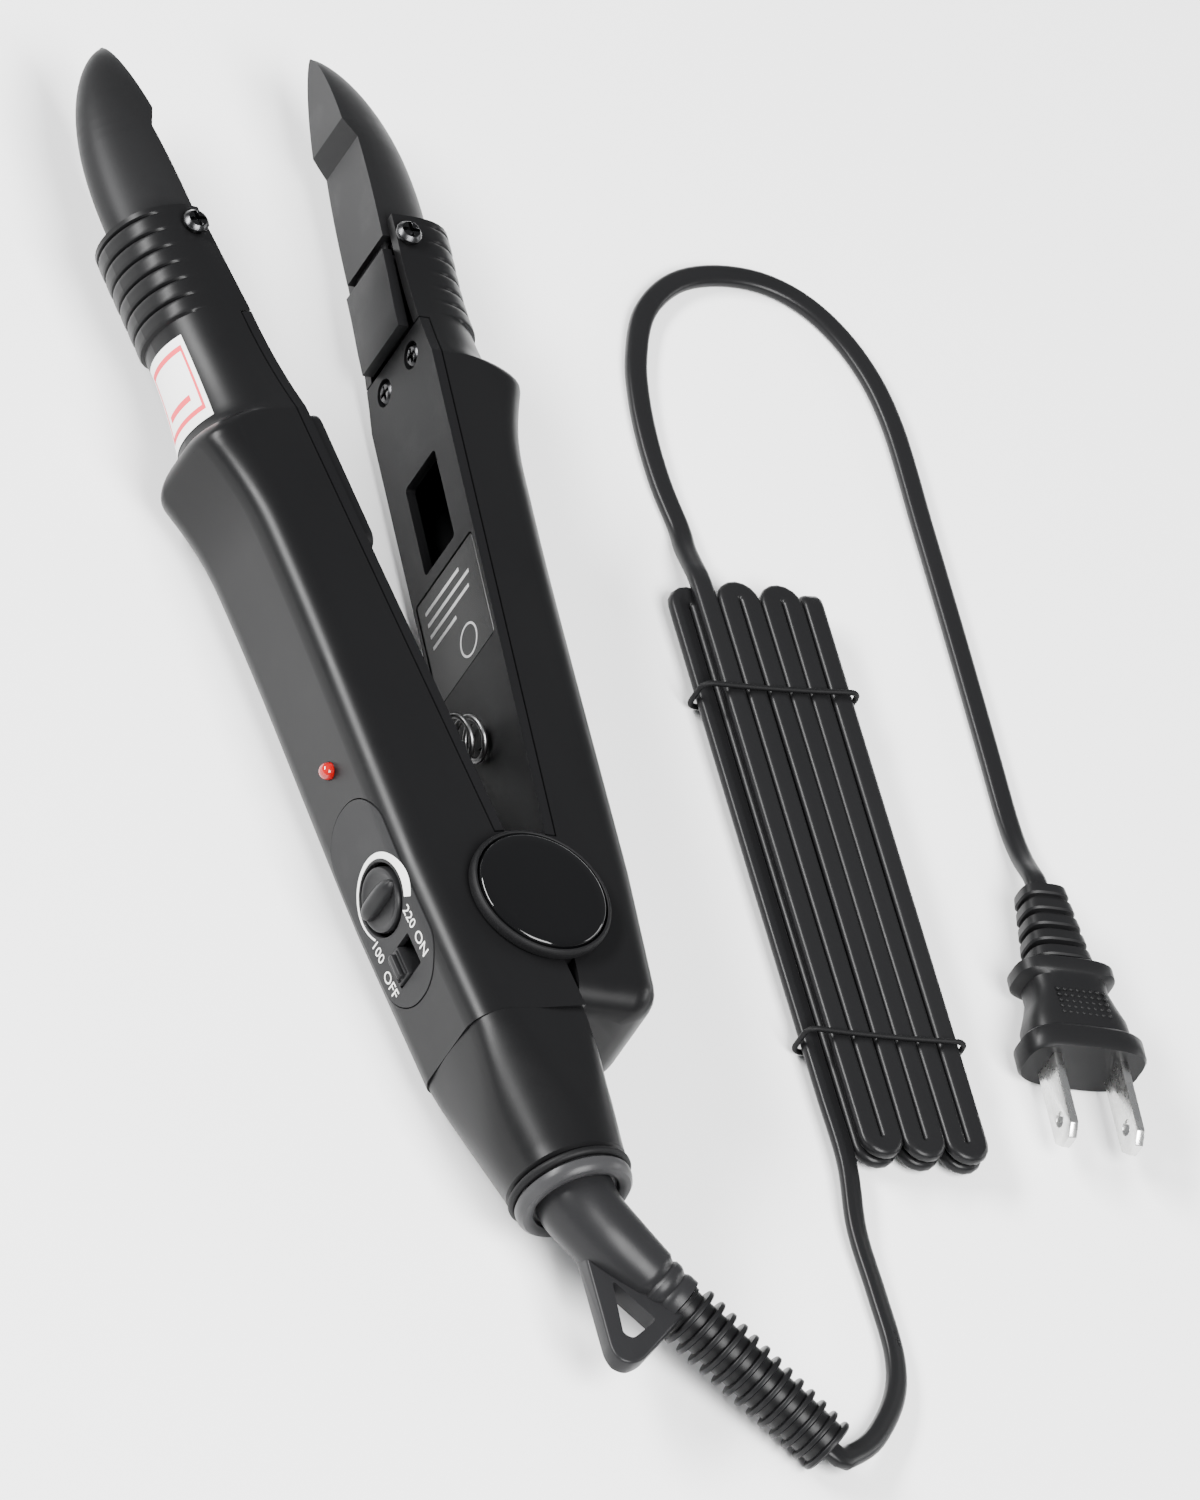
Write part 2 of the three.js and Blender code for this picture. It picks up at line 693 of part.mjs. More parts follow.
function controlPieces() {
  const face = controlDepth;
  const slot = roundedRectangle(slotX, slotZ, 0.3);
  const plate = cut(
    panelPrism(0).intersect(bodySolid(controlArm)),
    bodySolid(controlArm, panelThick),
    turnedY(knobX, knobZ, 0, 60, knobRadius + knobCup),
    plateY(slot, switchX, midZ, 0, 60),
  );
  add(root, "control_panel", plate, grey());

  const lens = join(
    turnedY(ledX, knobZ, face - 4, face - 0.4, ledRadius, 12),
    solid(new THREE.SphereGeometry(ledRadius, 12, 6).translate(ledX, face - 0.4, knobZ)),
  );
  add(root, "led_lens", lens, finish(0xb01818, 0.2));

  const disk = turnedY(knobX, knobZ, face - 3.4, face + 0.6, knobRadius, 32);
  const grip = roundedRectangle(3, 2 * knobRadius - 0.6, 1.4);
  const bar = plateY(grip, knobX, knobZ, face, face + knobHeight - 1, 0.5);
  const knob = cut(join(disk, bar), turnedY(knobX, knobZ, 0, face - 1, shaftRadius + gap, 12));
  add(root, "temperature_knob", knob, rubber());

  const pot = join(
    turnedY(knobX, knobZ, boardY + boardThick + gap, face - 3.4 - gap, 4.6),
    turnedY(knobX, knobZ, boardY + boardThick + gap, face - 1.4, shaftRadius, 12),
  );
  add(root, "potentiometer", pot, grey());

  const z0 = midZ - slotZ / 2 + gap;
  const [left, right] = [switchX - slotX / 2 + gap, switchX + slotX / 2 - gap];
  const slider = join(
    block(left, right, face - 3.6, face + sliderProud, z0, z0 + sliderZ),
    block(left - 0.6 - gap, right, face - 3.6, face - 2.6, z0, z0 + sliderZ),
  );
  add(root, "switch_slider", slider, rubber());
  const body = block(
    switchX - 4.4, switchX + 4.2, boardY + boardThick + gap, face - 3.6 - gap, midZ - 5.6, midZ + 5.6,
  );
  add(root, "switch_body", body, grey());

  const board = block(-12, ledX + 8, boardY, boardY + boardThick, midZ - 8.5, midZ + 8.5);
  const wireHole = turnedY(-11, midZ + 7.6, 0, 60, 0.6, 8);
  add(root, "circuit_board", cut(board, wireHole), finish(0x2f6b3a, 0.6));
}

function pivotPieces() {
  add(root, "pivot_pin", disc(0, 0, lowZ + gap, highZ - gap, pinRadius, 24), steel());
  const rim = (z, up) =>
    cut(
      turnedZ(up > 0 ? [[z, ringRadius], [z + 1.5, ringRadius], [z + 2.1, ringRadius - 0.6]]
        : [[z - 2.1, ringRadius - 0.6], [z - 1.5, ringRadius], [z, ringRadius]], 0, 0, 28),
      disc(0, 0, -5, 40, capRadius + gap, 28),
    );
  const cap = (z, up) =>
    turnedZ(up > 0 ? [[z, capRadius], [z + 2.1, capRadius], [capHigh, capRadius - 0.7]]
      : [[0, capRadius - 0.7], [z - 2.1, capRadius], [z, capRadius]], 0, 0, 28);
  add(root, "pivot_ring_top", rim(highZ + gap, 1), rubber());
  add(root, "pivot_cap_top", cap(highZ + gap, 1), gloss());
  add(root, "pivot_ring_bottom", rim(lowZ - gap, -1), rubber());
  add(root, "pivot_cap_bottom", cap(lowZ - gap, -1), gloss());
}

// The rear: O-ring, collar, bent neck with its hang loop, and the ribbed strain relief.
const bend = [-57, 9.4, 15.2];
const boot = new THREE.Vector3(-0.752, -0.632, -0.178).normalize();
const along3 = (t) => new THREE.Vector3(...bend).addScaledVector(boot, t).toArray();
const sleeveEnd = 21;
const bootEnd = 56;
const bootRib = 5;
const bootCore = 3.2;
const bootRibs = 12;

function rearPieces() {
  const ringSeat = barrelRadius - 0.4;
  const ring = new THREE.TorusGeometry(ringSeat, ringSection / 2, 6, 28);
  add(root, "rear_o_ring", solid(
    ring.rotateY(Math.PI / 2).translate(barrelEnd - gap - ringSection / 2, barrelY, midZ)), rubber());
  const x = barrelEnd - gap;
  const lipFront = x - ringSection - gap;
  const cupFloor = x - collarLength - ringSection + collarCup;
  const spigot = ringSeat - ringSection / 2;
  const rim = [
    [x - collarLength - ringSection - 0.2, collarRadius - 0.8],
    [lipFront - 0.9, collarRadius],
    [lipFront, collarRadius],
  ];
  const stem = [[lipFront, spigot], [x, spigot], [x, stemRadius], [x + 6, stemRadius]];
  const cup = [[x - 9, cupRadius], [cupFloor, cupRadius], [cupFloor, collarBore], [x + 9, collarBore]];
  const collar = cut(turnedX([...rim, ...stem], barrelY, midZ, 28), turnedX(cup, barrelY, midZ, 24));
  add(root, "rear_collar", collar, grey());

  const start = cupFloor - gap;
  const place = along(bend, along3(1));
  const sleeve = moved(turnedX([[0, 6.6], [9, 5.2], [14.9, 4.6], [15.6, 4.1], [16.2, 4.6], [18, 4.6],
    [18.6, 4.1], [19.2, 4.6], [sleeveEnd, 4.5]], 0, 0, 24), place);
  const loopOuter = new THREE.Shape([
    [-58.5, 10.8],
    [-81.8, 14.4],
    [-84.2, 14],
    [-85.4, 11.9],
    [-84.6, 9],
    [-80, 2.5],
    [-75, -4.6],
    [-70, -2],
    [-58, 6],
  ].map((p) => new THREE.Vector2(...p)));
  loopOuter.holes.push(new THREE.Path([
    [-68.4, 8.4], [-79.6, 10.9], [-80.6, 9.2], [-77, 3],
  ].map((p) => new THREE.Vector2(...p))));
  const neck = cut(
    join(
      turnedX([[bend[0], 6.6], [start, 7.3]], barrelY, midZ),
      solid(new THREE.SphereGeometry(6.6, 16, 8).translate(...bend)),
      sleeve,
      slab(loopOuter, 10.6, 13.6, 0.4, 1),
    ),
    moved(turnedX([[4, 1.8], [60, 1.8]], 0, 0, 12), place),
    turnedX([[bend[0] + 0.5, 2.4], [0, 2.4]], barrelY, midZ, 12),
    block(start, 0, ...everywhere),
    moved(turnedX([[sleeveEnd, bootRib + gap], [60, bootRib + gap]], 0, 0, 16), place),
  );
  add(root, "swivel_neck", neck, casing());

  const ribs = [[sleeveEnd + gap, bootCore]];
  const pitch = (bootEnd - sleeveEnd - gap) / bootRibs;
  for (let i = 1; i <= bootRibs; i++) {
    const t = sleeveEnd + gap + i * pitch;
    ribs.push([t - 1.1, bootCore], [t - 1.1, bootRib], [t, bootRib]);
    if (i < bootRibs) ribs.push([t, bootCore]);
  }
  const cordBore = turnedX([[sleeveEnd - 2, 1.8], [bootEnd - 4, 1.8]], 0, 0, 8);
  const relief = cut(turnedX(ribs, 0, 0, 12), cordBore);
  add(root, "strain_relief", relief, rubber(), place);
}

function springPieces() {
  const start = new THREE.Vector3(springX, controlFaceAt(springX) - gap - springWire / 2, midZ);
  const end = new THREE.Vector3(springX, plainFaceAt(springX) + gap + springWire / 2, midZ);
  end.applyAxisAngle(new THREE.Vector3(0, 0, 1), -open);
  class Coil extends THREE.Curve {
    getPoint(t, target = new THREE.Vector3()) {
      const angle = 2 * Math.PI * springTurns * t;
      const r = springRadius - springWire / 2;
      const p = target.lerpVectors(start, end, t);
      p.x += r * Math.cos(angle);
      p.z += r * Math.sin(angle);
      return p;
    }
  }
  const coil = tube(new Coil(), springWire / 2, springWire / 2, springTurns * 10, 5);
  add(root, "return_spring", coil, steel());
}

// ---- The mains lead: out of the strain relief, through the hank, and on to its plug ----
const liesAt = cordThick / 2 + 0.1;
const hankPlace = new THREE.Matrix4()
  .makeRotationZ(THREE.MathUtils.degToRad(hankAngle))
  .setPosition(...hankCentre, 0);
const onHank = (x, y, z) => new THREE.Vector3(x, y, z).applyMatrix4(hankPlace).toArray();
const plugPlace = along([9, -116.6, 6.6], [-40.2, -106.6, 6.6]);
const curve = (points) => new THREE.CatmullRomCurve3(points.map((p) => new THREE.Vector3(...p)));

function cordPieces() {
  const lead = [
    along3(bootEnd + gap),
    along3(bootEnd + 2),
    [-100.3, -30.5, 4.1],
    [-96.5, -37.6, 3],
    [-88.3, -45.6, 2.2],
    [-79.5, -49.8, 1.9],
    [-67, -51.8, 1.9],
    [-54, -53.4, 2.2],
    onHank(-hankLength / 2 - gap, hankWidth / 2 - 2.5, hankLift + 1.4),
  ];
  add(root, "cord_lead", tube(curve(lead), cordThick / 2, cordWidth / 2, 26, 8), rubber());
  const tail = [
    onHank(hankLength / 2 + 2 * gap, hankWidth / 2 - 7, 3),
    onHank(hankLength / 2 + 3, hankWidth / 2 - 7, 2.7),
    [86.2, -82, 1.7],
    [92, -82.4, liesAt],
    [101, -82.8, liesAt],
    [110.5, -84.2, liesAt],
    [119.5, -86.4, liesAt],
    [128, -89.6, liesAt],
    [137.2, -95.4, liesAt],
    [143, -104, liesAt],
    [144.2, -113.6, liesAt],
    [141.6, -123, liesAt],
    [135, -130, liesAt],
    [124.3, -134.2, liesAt],
    [110.8, -134.8, liesAt],
    [88.8, -131.4, liesAt],
    [65, -127.6, liesAt],
    [42.4, -123.8, liesAt],
    [27, -121, 1.6],
    [18.5, -119, 3.4],
    new THREE.Vector3(-3, 0, -0.3).applyMatrix4(plugPlace).toArray(),
    new THREE.Vector3(-2 * gap, 0, 0).applyMatrix4(plugPlace).toArray(),
  ];
  add(root, "cord_tail", tube(curve(tail), cordThick / 2, cordWidth / 2, 56, 8), rubber());

  const pack = slab(roundedRectangle(hankLength, hankWidth, 4), hankLift, hankLift + hankHeight, 1, 1);
  add(root, "cord_hank", pack, rubber(), hankPlace);
  [-36, 37].forEach((x, i) => {
    const [a, b] = [hankWidth / 2 + gap + tieRadius, hankLift - gap - tieRadius];
    const top = hankLift + hankHeight + gap + tieRadius;
    const loop = new THREE.Shape();
    const half = hankHeight / 2 + gap + tieRadius;
    loop.moveTo(a - half, -half);
    loop.absarc(a - 2, -half + 2, 2, -Math.PI / 2, 0);
    loop.absarc(a - 2, half - 2, 2, 0, Math.PI / 2);
    loop.absarc(-a + 2, half - 2, 2, Math.PI / 2, Math.PI);
    loop.absarc(-a + 2, -half + 2, 2, Math.PI, 1.5 * Math.PI);
    loop.closePath();
    const grown = (r) => roundedRectangle(2 * (a + r), 2 * (half + r), 2 + r);
    const band = grown(tieRadius);
    band.holes.push(grown(-tieRadius));
    const depth = 2 * tieRadius;
    const g = new THREE.ExtrudeGeometry(band, { depth, bevelEnabled: false, curveSegments: 2 });
    const middle = (b + top) / 2;
    g.rotateX(Math.PI / 2).rotateZ(Math.PI / 2).translate(x, 0, middle);
    add(root, "cord_tie_" + (i + 1), solid(g), rubber(), hankPlace);
  });

  plugPieces();
}

const plugLength = 37;
function plugPieces() {
  const ring = (x0, x1, width, height) =>
    solid(
      new THREE.ExtrudeGeometry(roundedRectangle(height, width, height * 0.35), {
        depth: x1 - x0,
        bevelEnabled: false,
        curveSegments: 2,
      })
        .rotateY(Math.PI / 2)
        .translate(x0, 0, 0),
    );
  const pieces = [ring(0, plugLength - 3, 7, 5.4)];
  for (let i = 0; i < 5; i++) pieces.push(ring(i * 3.4, i * 3.4 + 2.4, 8.4 + i * 0.75, 6.8 + i * 0.35));
  pieces.push(ring(17, 20.4, 18.4, 10.4));
  pieces.push(ring(20, 26, 14.6, 10));
  pieces.push(ring(26, plugLength - 4, 18, 10.8));
  pieces.push(ring(plugLength - 5, plugLength, 22.6, 12.4));
  const pocket = (y) =>
    block(plugLength - 6, plugLength + 1, y - bladeThick / 2 - gap, y + bladeThick / 2 + gap,
      -bladeWidth / 2 - gap, bladeWidth / 2 + gap);
  const sides = [-1, 1].map((k) => (k * bladeSpacing) / 2);
  add(root, "plug_body", cut(join(...pieces), ...sides.map(pocket)), rubber(), plugPlace);
  sides.forEach((y, i) => {
    const blade = new THREE.Shape();
    const [h, end] = [bladeWidth / 2, plugLength + bladeLength];
    blade.moveTo(plugLength - 6 + gap, -h);
    blade.lineTo(end - 2, -h);
    blade.lineTo(end, -h + 1.8);
    blade.lineTo(end, h - 1.8);
    blade.lineTo(end - 2, h);
    blade.lineTo(plugLength - 6 + gap, h);
    const hole = new THREE.Path();
    hole.absarc(end - 4.8, 0, 1.4, 0, 2 * Math.PI, true);
    blade.holes.push(hole);
    const made = plateY(blade, 0, 0, y - bladeThick / 2, y + bladeThick / 2);
    add(root, "plug_blade_" + (i + 1), made, steel(), plugPlace);
  });
}

controlArmPieces();
plainArmPieces();
controlPieces();
pivotPieces();
rearPieces();
springPieces();
cordPieces();

export default root;
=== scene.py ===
"""A hair fusion iron: two hinged arms with heated tips, lying beside its own tied lead."""
import math

import bmesh
import bpy
from mathutils import Matrix, Vector


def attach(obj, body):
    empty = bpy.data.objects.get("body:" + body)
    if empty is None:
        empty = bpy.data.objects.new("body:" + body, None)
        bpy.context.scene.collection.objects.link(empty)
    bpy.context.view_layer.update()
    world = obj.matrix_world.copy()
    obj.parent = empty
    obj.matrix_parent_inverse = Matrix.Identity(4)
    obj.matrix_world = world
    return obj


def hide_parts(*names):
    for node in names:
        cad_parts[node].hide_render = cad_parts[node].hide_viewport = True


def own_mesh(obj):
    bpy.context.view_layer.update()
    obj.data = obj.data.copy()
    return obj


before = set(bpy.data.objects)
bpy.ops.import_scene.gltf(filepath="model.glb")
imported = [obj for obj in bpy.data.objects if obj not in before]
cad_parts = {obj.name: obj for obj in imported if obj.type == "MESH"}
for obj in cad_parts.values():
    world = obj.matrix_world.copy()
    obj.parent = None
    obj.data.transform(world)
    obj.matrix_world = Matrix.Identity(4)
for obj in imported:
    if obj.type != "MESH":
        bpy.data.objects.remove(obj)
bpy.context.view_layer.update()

MM = 0.001
OPEN_ANGLE = math.radians(12.3)
MID_Z = 15.0
LOW_Z, HIGH_Z = 3.0, 27.0
GAP = 0.3
WALL = 2.0


# ---- Camera ----
def make_camera():
    right = Vector((-0.365, -0.828, 0.425)).normalized()
    back = Vector((-0.473, 0.558, 0.681)).normalized()
    up = back.cross(right).normalized()
    right = up.cross(back)
    data = bpy.data.cameras.new("camera")
    data.lens, data.sensor_width = 900, 36
    data.clip_start, data.clip_end = 0.5, 30
    camera = bpy.data.objects.new("camera", data)
    bpy.context.scene.collection.objects.link(camera)
    middle = Vector((0, 0, 30)) * MM + right * 9.17 * MM + up * 23 * MM
    tall = 0.25
    place = Matrix((right, up, back)).transposed().to_4x4()
    place.translation = middle + back * (tall * data.lens / data.sensor_width)
    camera.matrix_world = place
    bpy.context.scene.camera = camera


make_camera()


# ---- Shader nodes ----
class Number:
    """A shader value that the operators of arithmetic work on."""

    def __init__(self, finish, socket):
        self.finish, self.socket = finish, socket

    def math(self, operation, *values):
        node = self.finish.node("ShaderNodeMath", {"operation": operation}, dict(enumerate(values)))
        return Number(self.finish, node.outputs[0])

    def __add__(self, other):
        return self.math("ADD", self, other)

    def __sub__(self, other):
        return self.math("SUBTRACT", self, other)

    def __rsub__(self, other):
        return self.math("SUBTRACT", other, self)

    def __mul__(self, other):
        return self.math("MULTIPLY", self, other)

    def power(self, other):
        return self.math("POWER", self, other)

    def clamped(self):
        return self.math("MAXIMUM", self.math("MINIMUM", self, 1.0), 0.0)

    __radd__, __rmul__ = __add__, __mul__


class Finish:
    """A procedural material in the making."""

    def __init__(self, name, **shader):
        self.material = bpy.data.materials.new(name)
        self.material.use_nodes = True
        self.tree = self.material.node_tree
        self.tree.nodes.clear()
        self.shader = self.node("ShaderNodeBsdfPrincipled", {}, shader)
        self.node("ShaderNodeOutputMaterial", {}, {"Surface": self.shader.outputs[0]})
        self.place = self.node("ShaderNodeTexCoord", {}, {}).outputs["Object"]

    def node(self, kind, settings, sockets):
        node = self.tree.nodes.new(kind)
        for key, value in settings.items():
            if key == "stops":
                ramp = node.color_ramp.elements
                for i, (at, level) in enumerate(value):
                    stop = ramp[i] if i < 2 else ramp.new(at)
                    stop.position, stop.color = at, (level, level, level, 1)
            else:
                setattr(node, key, value)
        for key, value in sockets.items():
            key = key.replace("_", " ") if isinstance(key, str) else key
            socket = node.inputs[key]
            if isinstance(value, Number):
                value = value.socket
            if isinstance(value, bpy.types.NodeSocket):
                self.tree.links.new(value, socket)
            elif isinstance(value, tuple) and len(value) == 3 and socket.type == "RGBA":
                socket.default_value = (*value, 1)
            else:
                socket.default_value = value
        return node

    def noise(self, size_mm, detail=3.0, stretch=(1, 1, 1), roughness=0.5):
        """Noise from 0 to 1 with features of about that size."""
        place = self.place
        if stretch != (1, 1, 1):
            place = self.node("ShaderNodeMapping", {}, {"Vector": place, "Scale": stretch}).outputs[0]
        node = self.node(
            "ShaderNodeTexNoise",
            {},
            {"Vector": place, "Scale": 1 / (size_mm * MM), "Detail": detail, "Roughness": roughness},
        )
        return Number(self, node.outputs[0])

    def ramp(self, value, *stops):
        node = self.node("ShaderNodeValToRGB", {"stops": stops}, {0: value})
        return Number(self, node.outputs[0])

    def along(self, axis):
        parts = self.node("ShaderNodeSeparateXYZ", {}, {0: self.place})
        return Number(self, parts.outputs[axis])

    def mix(self, factor, a, b):
        node = self.node(
            "ShaderNodeMix", {"data_type": "RGBA"}, {
                "Factor": factor, 6: (*a, 1) if isinstance(a, tuple) else a, 7: (*b, 1),
            }
        )
        return node.outputs[2]

    def color(self, value):
        self.tree.links.new(value, self.shader.inputs["Base Color"])

    def rough(self, value):
        self.tree.links.new(value.socket, self.shader.inputs["Roughness"])

    def bump(self, height, strength, depth_mm):
        node = self.node(
            "ShaderNodeBump", {}, {"Height": height, "Strength": strength, "Distance": depth_mm * MM}
        )
        self.tree.links.new(node.outputs[0], self.shader.inputs["Normal"])


def moulded(name, dark, light, rough, grain_mm, depth_mm, spread=0.12, **shader):
    """Moulded plastic or rubber: a fine grain, faint flow marks and a few rubbed patches."""
    f = Finish(name, **{"Specular_IOR_Level": 0.13, **shader})
    grain = f.noise(grain_mm, 4)
    flow = f.noise(26, 2, (0.4, 1, 1))
    rubbed = f.ramp(f.noise(9, 5, roughness=0.62), (0.52, 0.0), (0.74, 1.0))
    hairline = f.ramp(f.noise(1.3, 2, (0.08, 1, 1)), (0.60, 0.0), (0.72, 1.0)) * rubbed
    f.color(f.mix((flow * 0.5 + grain * 0.3 + hairline * 0.25).clamped(), dark, light))
    worn = flow * spread + grain * 0.5 * spread - rubbed * 0.5 * spread
    f.rough((worn + (rough - 0.5 * spread)).clamped())
    f.bump(grain + hairline * 0.35, 0.55, depth_mm)
    return f.material


def metal(name, dark, light, rough, brush=(1, 1, 1), **shader):
    f = Finish(name, Metallic=1.0, **shader)
    brushed = f.noise(0.35, 4, brush)
    stain = f.ramp(f.noise(3.5, 4), (0.42, 0.0), (0.75, 1.0))
    f.color(f.mix((brushed * 0.6 + stain * 0.4).clamped(), light, dark))
    f.rough((brushed * 0.16 + stain * 0.14 + (rough - 0.1)).clamped())
    f.bump(brushed, 0.3, 0.02)
    return f.material


def make_materials():
    made = {
        "casing": moulded(
            "satin_casing_black", (0.0035, 0.0035, 0.0037), (0.006, 0.006, 0.0063), 0.32, 0.28, 0.006,
        ),
        "inner": moulded(
            "inner_cover_black", (0.003, 0.003, 0.0032), (0.0055, 0.0055, 0.006), 0.42, 0.3, 0.01,
        ),
        "gloss": moulded("polished_cap_black", (0.0015, 0.0015, 0.0017), (0.003, 0.003, 0.0032), 0.09,
            0.5, 0.0015, 0.05,
                         Coat_Weight=0.35, Coat_Roughness=0.05),
        "panel": moulded(
            "panel_dark_grey", (0.010, 0.010, 0.0105), (0.015, 0.015, 0.0155), 0.5, 0.22, 0.014,
        ),
        "collar": moulded("collar_grey", (0.022, 0.022, 0.023), (0.036, 0.036, 0.037), 0.32, 0.3, 0.01),
        "neck": moulded("neck_grey", (0.009, 0.009, 0.0095), (0.015, 0.015, 0.016), 0.34, 0.3, 0.012),
        "rubber": moulded(
            "soft_rubber_black", (0.0025, 0.0025, 0.0027), (0.006, 0.006, 0.0065), 0.55, 0.35, 0.02,
        ),
        "boot": moulded(
            "strain_relief_black", (0.004, 0.004, 0.0042), (0.009, 0.009, 0.0095), 0.36, 0.35, 0.014,
        ),
        "cord": moulded(
            "cord_pvc_black", (0.0055, 0.0055, 0.0058), (0.010, 0.010, 0.0105), 0.3, 0.4, 0.01,
        ),
        "plug": moulded(
            "plug_pvc_black", (0.0045, 0.0045, 0.0047), (0.009, 0.009, 0.0095), 0.38, 0.3, 0.018,
        ),
        "knob": moulded("knob_black", (0.007, 0.007, 0.0075), (0.012, 0.012, 0.0125), 0.34, 0.25, 0.012),
        "tip": moulded("tip_heatproof_coating", (0.006, 0.006, 0.0063), (0.013, 0.013, 0.0135), 0.38,
            0.16, 0.02, 0.2,
                       Metallic=0.2),
        "ceramic": moulded("heater_ceramic", (0.52, 0.49, 0.43), (0.7, 0.67, 0.6), 0.75, 0.4, 0.03),
        "board": moulded("board_solder_mask", (0.02, 0.10, 0.04), (0.04, 0.17, 0.07), 0.35, 0.6, 0.01),
        "grey_part": moulded("component_grey", (0.05, 0.05, 0.055), (0.09, 0.09, 0.095), 0.45, 0.3, 0.01),
        "label": moulded("label_film_black", (0.0015, 0.0015, 0.0015), (0.003, 0.003, 0.003), 0.24, 0.7,
            0.003, 0.06,
                         Coat_Weight=0.05, Coat_Roughness=0.1),
        "print": moulded("white_print", (0.62, 0.62, 0.6), (0.8, 0.8, 0.78), 0.5, 0.2, 0.006),
        "grey_print": moulded("grey_print", (0.3, 0.3, 0.3), (0.42, 0.42, 0.42), 0.5, 0.2, 0.006),
        "paper": moulded("sticker_paper", (0.74, 0.74, 0.73), (0.86, 0.86, 0.85), 0.55, 0.25, 0.006),
        "red_ink": moulded("sticker_red_ink", (0.62, 0.03, 0.05), (0.78, 0.07, 0.1), 0.5, 0.2, 0.004),
        "lamp": moulded("lamp_red_lens", (0.22, 0.001, 0.002), (0.34, 0.003, 0.004), 0.14, 0.5, 0.003,
            0.04,
                        Coat_Weight=0.8, Coat_Roughness=0.05, Emission_Color=(0.8, 0.01, 0.01, 1),
                            Emission_Strength=0.04),
        "screw": metal("screw_dark_steel", (0.02, 0.02, 0.021), (0.06, 0.06, 0.062), 0.26, (1, 1, 0.15)),
        "steel": metal("pin_steel", (0.3, 0.3, 0.3), (0.5, 0.5, 0.5), 0.3, (1, 1, 0.1)),
        "spring": metal("spring_steel", (0.1, 0.1, 0.1), (0.24, 0.24, 0.24), 0.32, (1, 0.2, 1)),
        "nickel": metal("blade_nickel", (0.5, 0.5, 0.49), (0.72, 0.72, 0.71), 0.26, (0.1, 1, 1)),
    }
    return made


materials = make_materials()


# ---- Mesh helpers: everything is made in millimetres, and scaled as it becomes a piece ----
def grid_through(rings, closed=True, caps=True):
    """A skin through rings of points, as many in each, from one end to the other."""
    count = len(rings[0])
    across = count if closed else count - 1
    bm = bmesh.new()
    bmesh.ops.create_grid(bm, x_segments=across, y_segments=len(rings) - 1, size=1)
    for v in bm.verts:
        i = round((v.co.x + 1) / 2 * across)
        j = round((v.co.y + 1) / 2 * (len(rings) - 1))
        v.co = rings[j][i % count]
    bmesh.ops.remove_doubles(bm, verts=bm.verts, dist=1e-5)
    if closed and caps:
        bmesh.ops.holes_fill(bm, edges=[e for e in bm.edges if e.is_boundary], sides=0)
    bmesh.ops.recalc_face_normals(bm, faces=bm.faces)
    return bm


def spun(profile, steps=64):
    """A solid of revolution about X: profile is (x, radius), from one end to the other."""
    bm = bmesh.new()
    points = [(profile[0][0], 0)] + list(profile) + [(profile[-1][0], 0)]
    verts = [bm.verts.new((x, r, 0)) for x, r in points]
    edges = [bm.edges.new(pair) for pair in zip(verts, verts[1:])]
    bmesh.ops.spin(bm, geom=verts + edges, cent=(0, 0, 0), axis=(1, 0, 0), angle=2 * math.pi,
                   steps=steps, use_merge=True)
    bmesh.ops.remove_doubles(bm, verts=bm.verts, dist=1e-4)
    bmesh.ops.recalc_face_normals(bm, faces=bm.faces)
    return bm


def raised(outline, z0, z1, bevel=0.0, segments=3):
    """A flat outline raised from z0 to z1, with its edges rounded."""
    bm = bmesh.new()
    face = bm.faces.new([bm.verts.new((x, y, z0)) for x, y in outline])
    top = bmesh.ops.extrude_face_region(bm, geom=[face])["geom"]
    bmesh.ops.translate(
        bm, verts=[g for g in top if isinstance(g, bmesh.types.BMVert)], vec=(0, 0, z1 - z0),
    )
    if bevel:
        rims = [e for e in bm.edges if abs(e.verts[0].co.z - e.verts[1].co.z) < 1e-6]
        bmesh.ops.bevel(
            bm, geom=rims, offset=bevel, segments=segments, profile=0.5, affect="EDGES", material=-1,
        )
    bmesh.ops.recalc_face_normals(bm, faces=bm.faces)
    return bm


def block(x0, x1, y0, y1, z0, z1, bevel=0.0, segments=2):
    bm = bmesh.new()
    bmesh.ops.create_cube(bm, size=1)
    size, middle = (x1 - x0, y1 - y0, z1 - z0), ((x0 + x1) / 2, (y0 + y1) / 2, (z0 + z1) / 2)
    bmesh.ops.scale(bm, verts=bm.verts, vec=size)
    bmesh.ops.translate(bm, verts=bm.verts, vec=middle)
    if bevel:
        bmesh.ops.bevel(
            bm, geom=bm.edges, offset=bevel, segments=segments, profile=0.5, affect="EDGES", material=-1,
        )
    return bm


def placed(bm, matrix):
    bmesh.ops.transform(bm, matrix=matrix, verts=bm.verts)
    return bm


# Turns what was made in X, Y, Z so that its thickness runs along Y, or its axis along Z or Y.
UPRIGHT = Matrix(((1, 0, 0, 0), (0, 0, 1, 0), (0, 1, 0, 0), (0, 0, 0, 1)))
X_TO_Z = Matrix(((0, 0, -1, 0), (0, 1, 0, 0), (1, 0, 0, 0), (0, 0, 0, 1)))
X_TO_Y = Matrix(((0, -1, 0, 0), (1, 0, 0, 0), (0, 0, 1, 0), (0, 0, 0, 1)))


def flipped(bm):
    bmesh.ops.recalc_face_normals(bm, faces=bm.faces)
    return bm


def merged(*parts):
    """Separate closed solids in one mesh."""
    whole = bmesh.new()
    for bm in parts:
        mesh = bpy.data.meshes.new("part")
        bm.to_mesh(mesh)
        bm.free()
        whole.from_mesh(mesh)
        bpy.data.meshes.remove(mesh)
    return whole


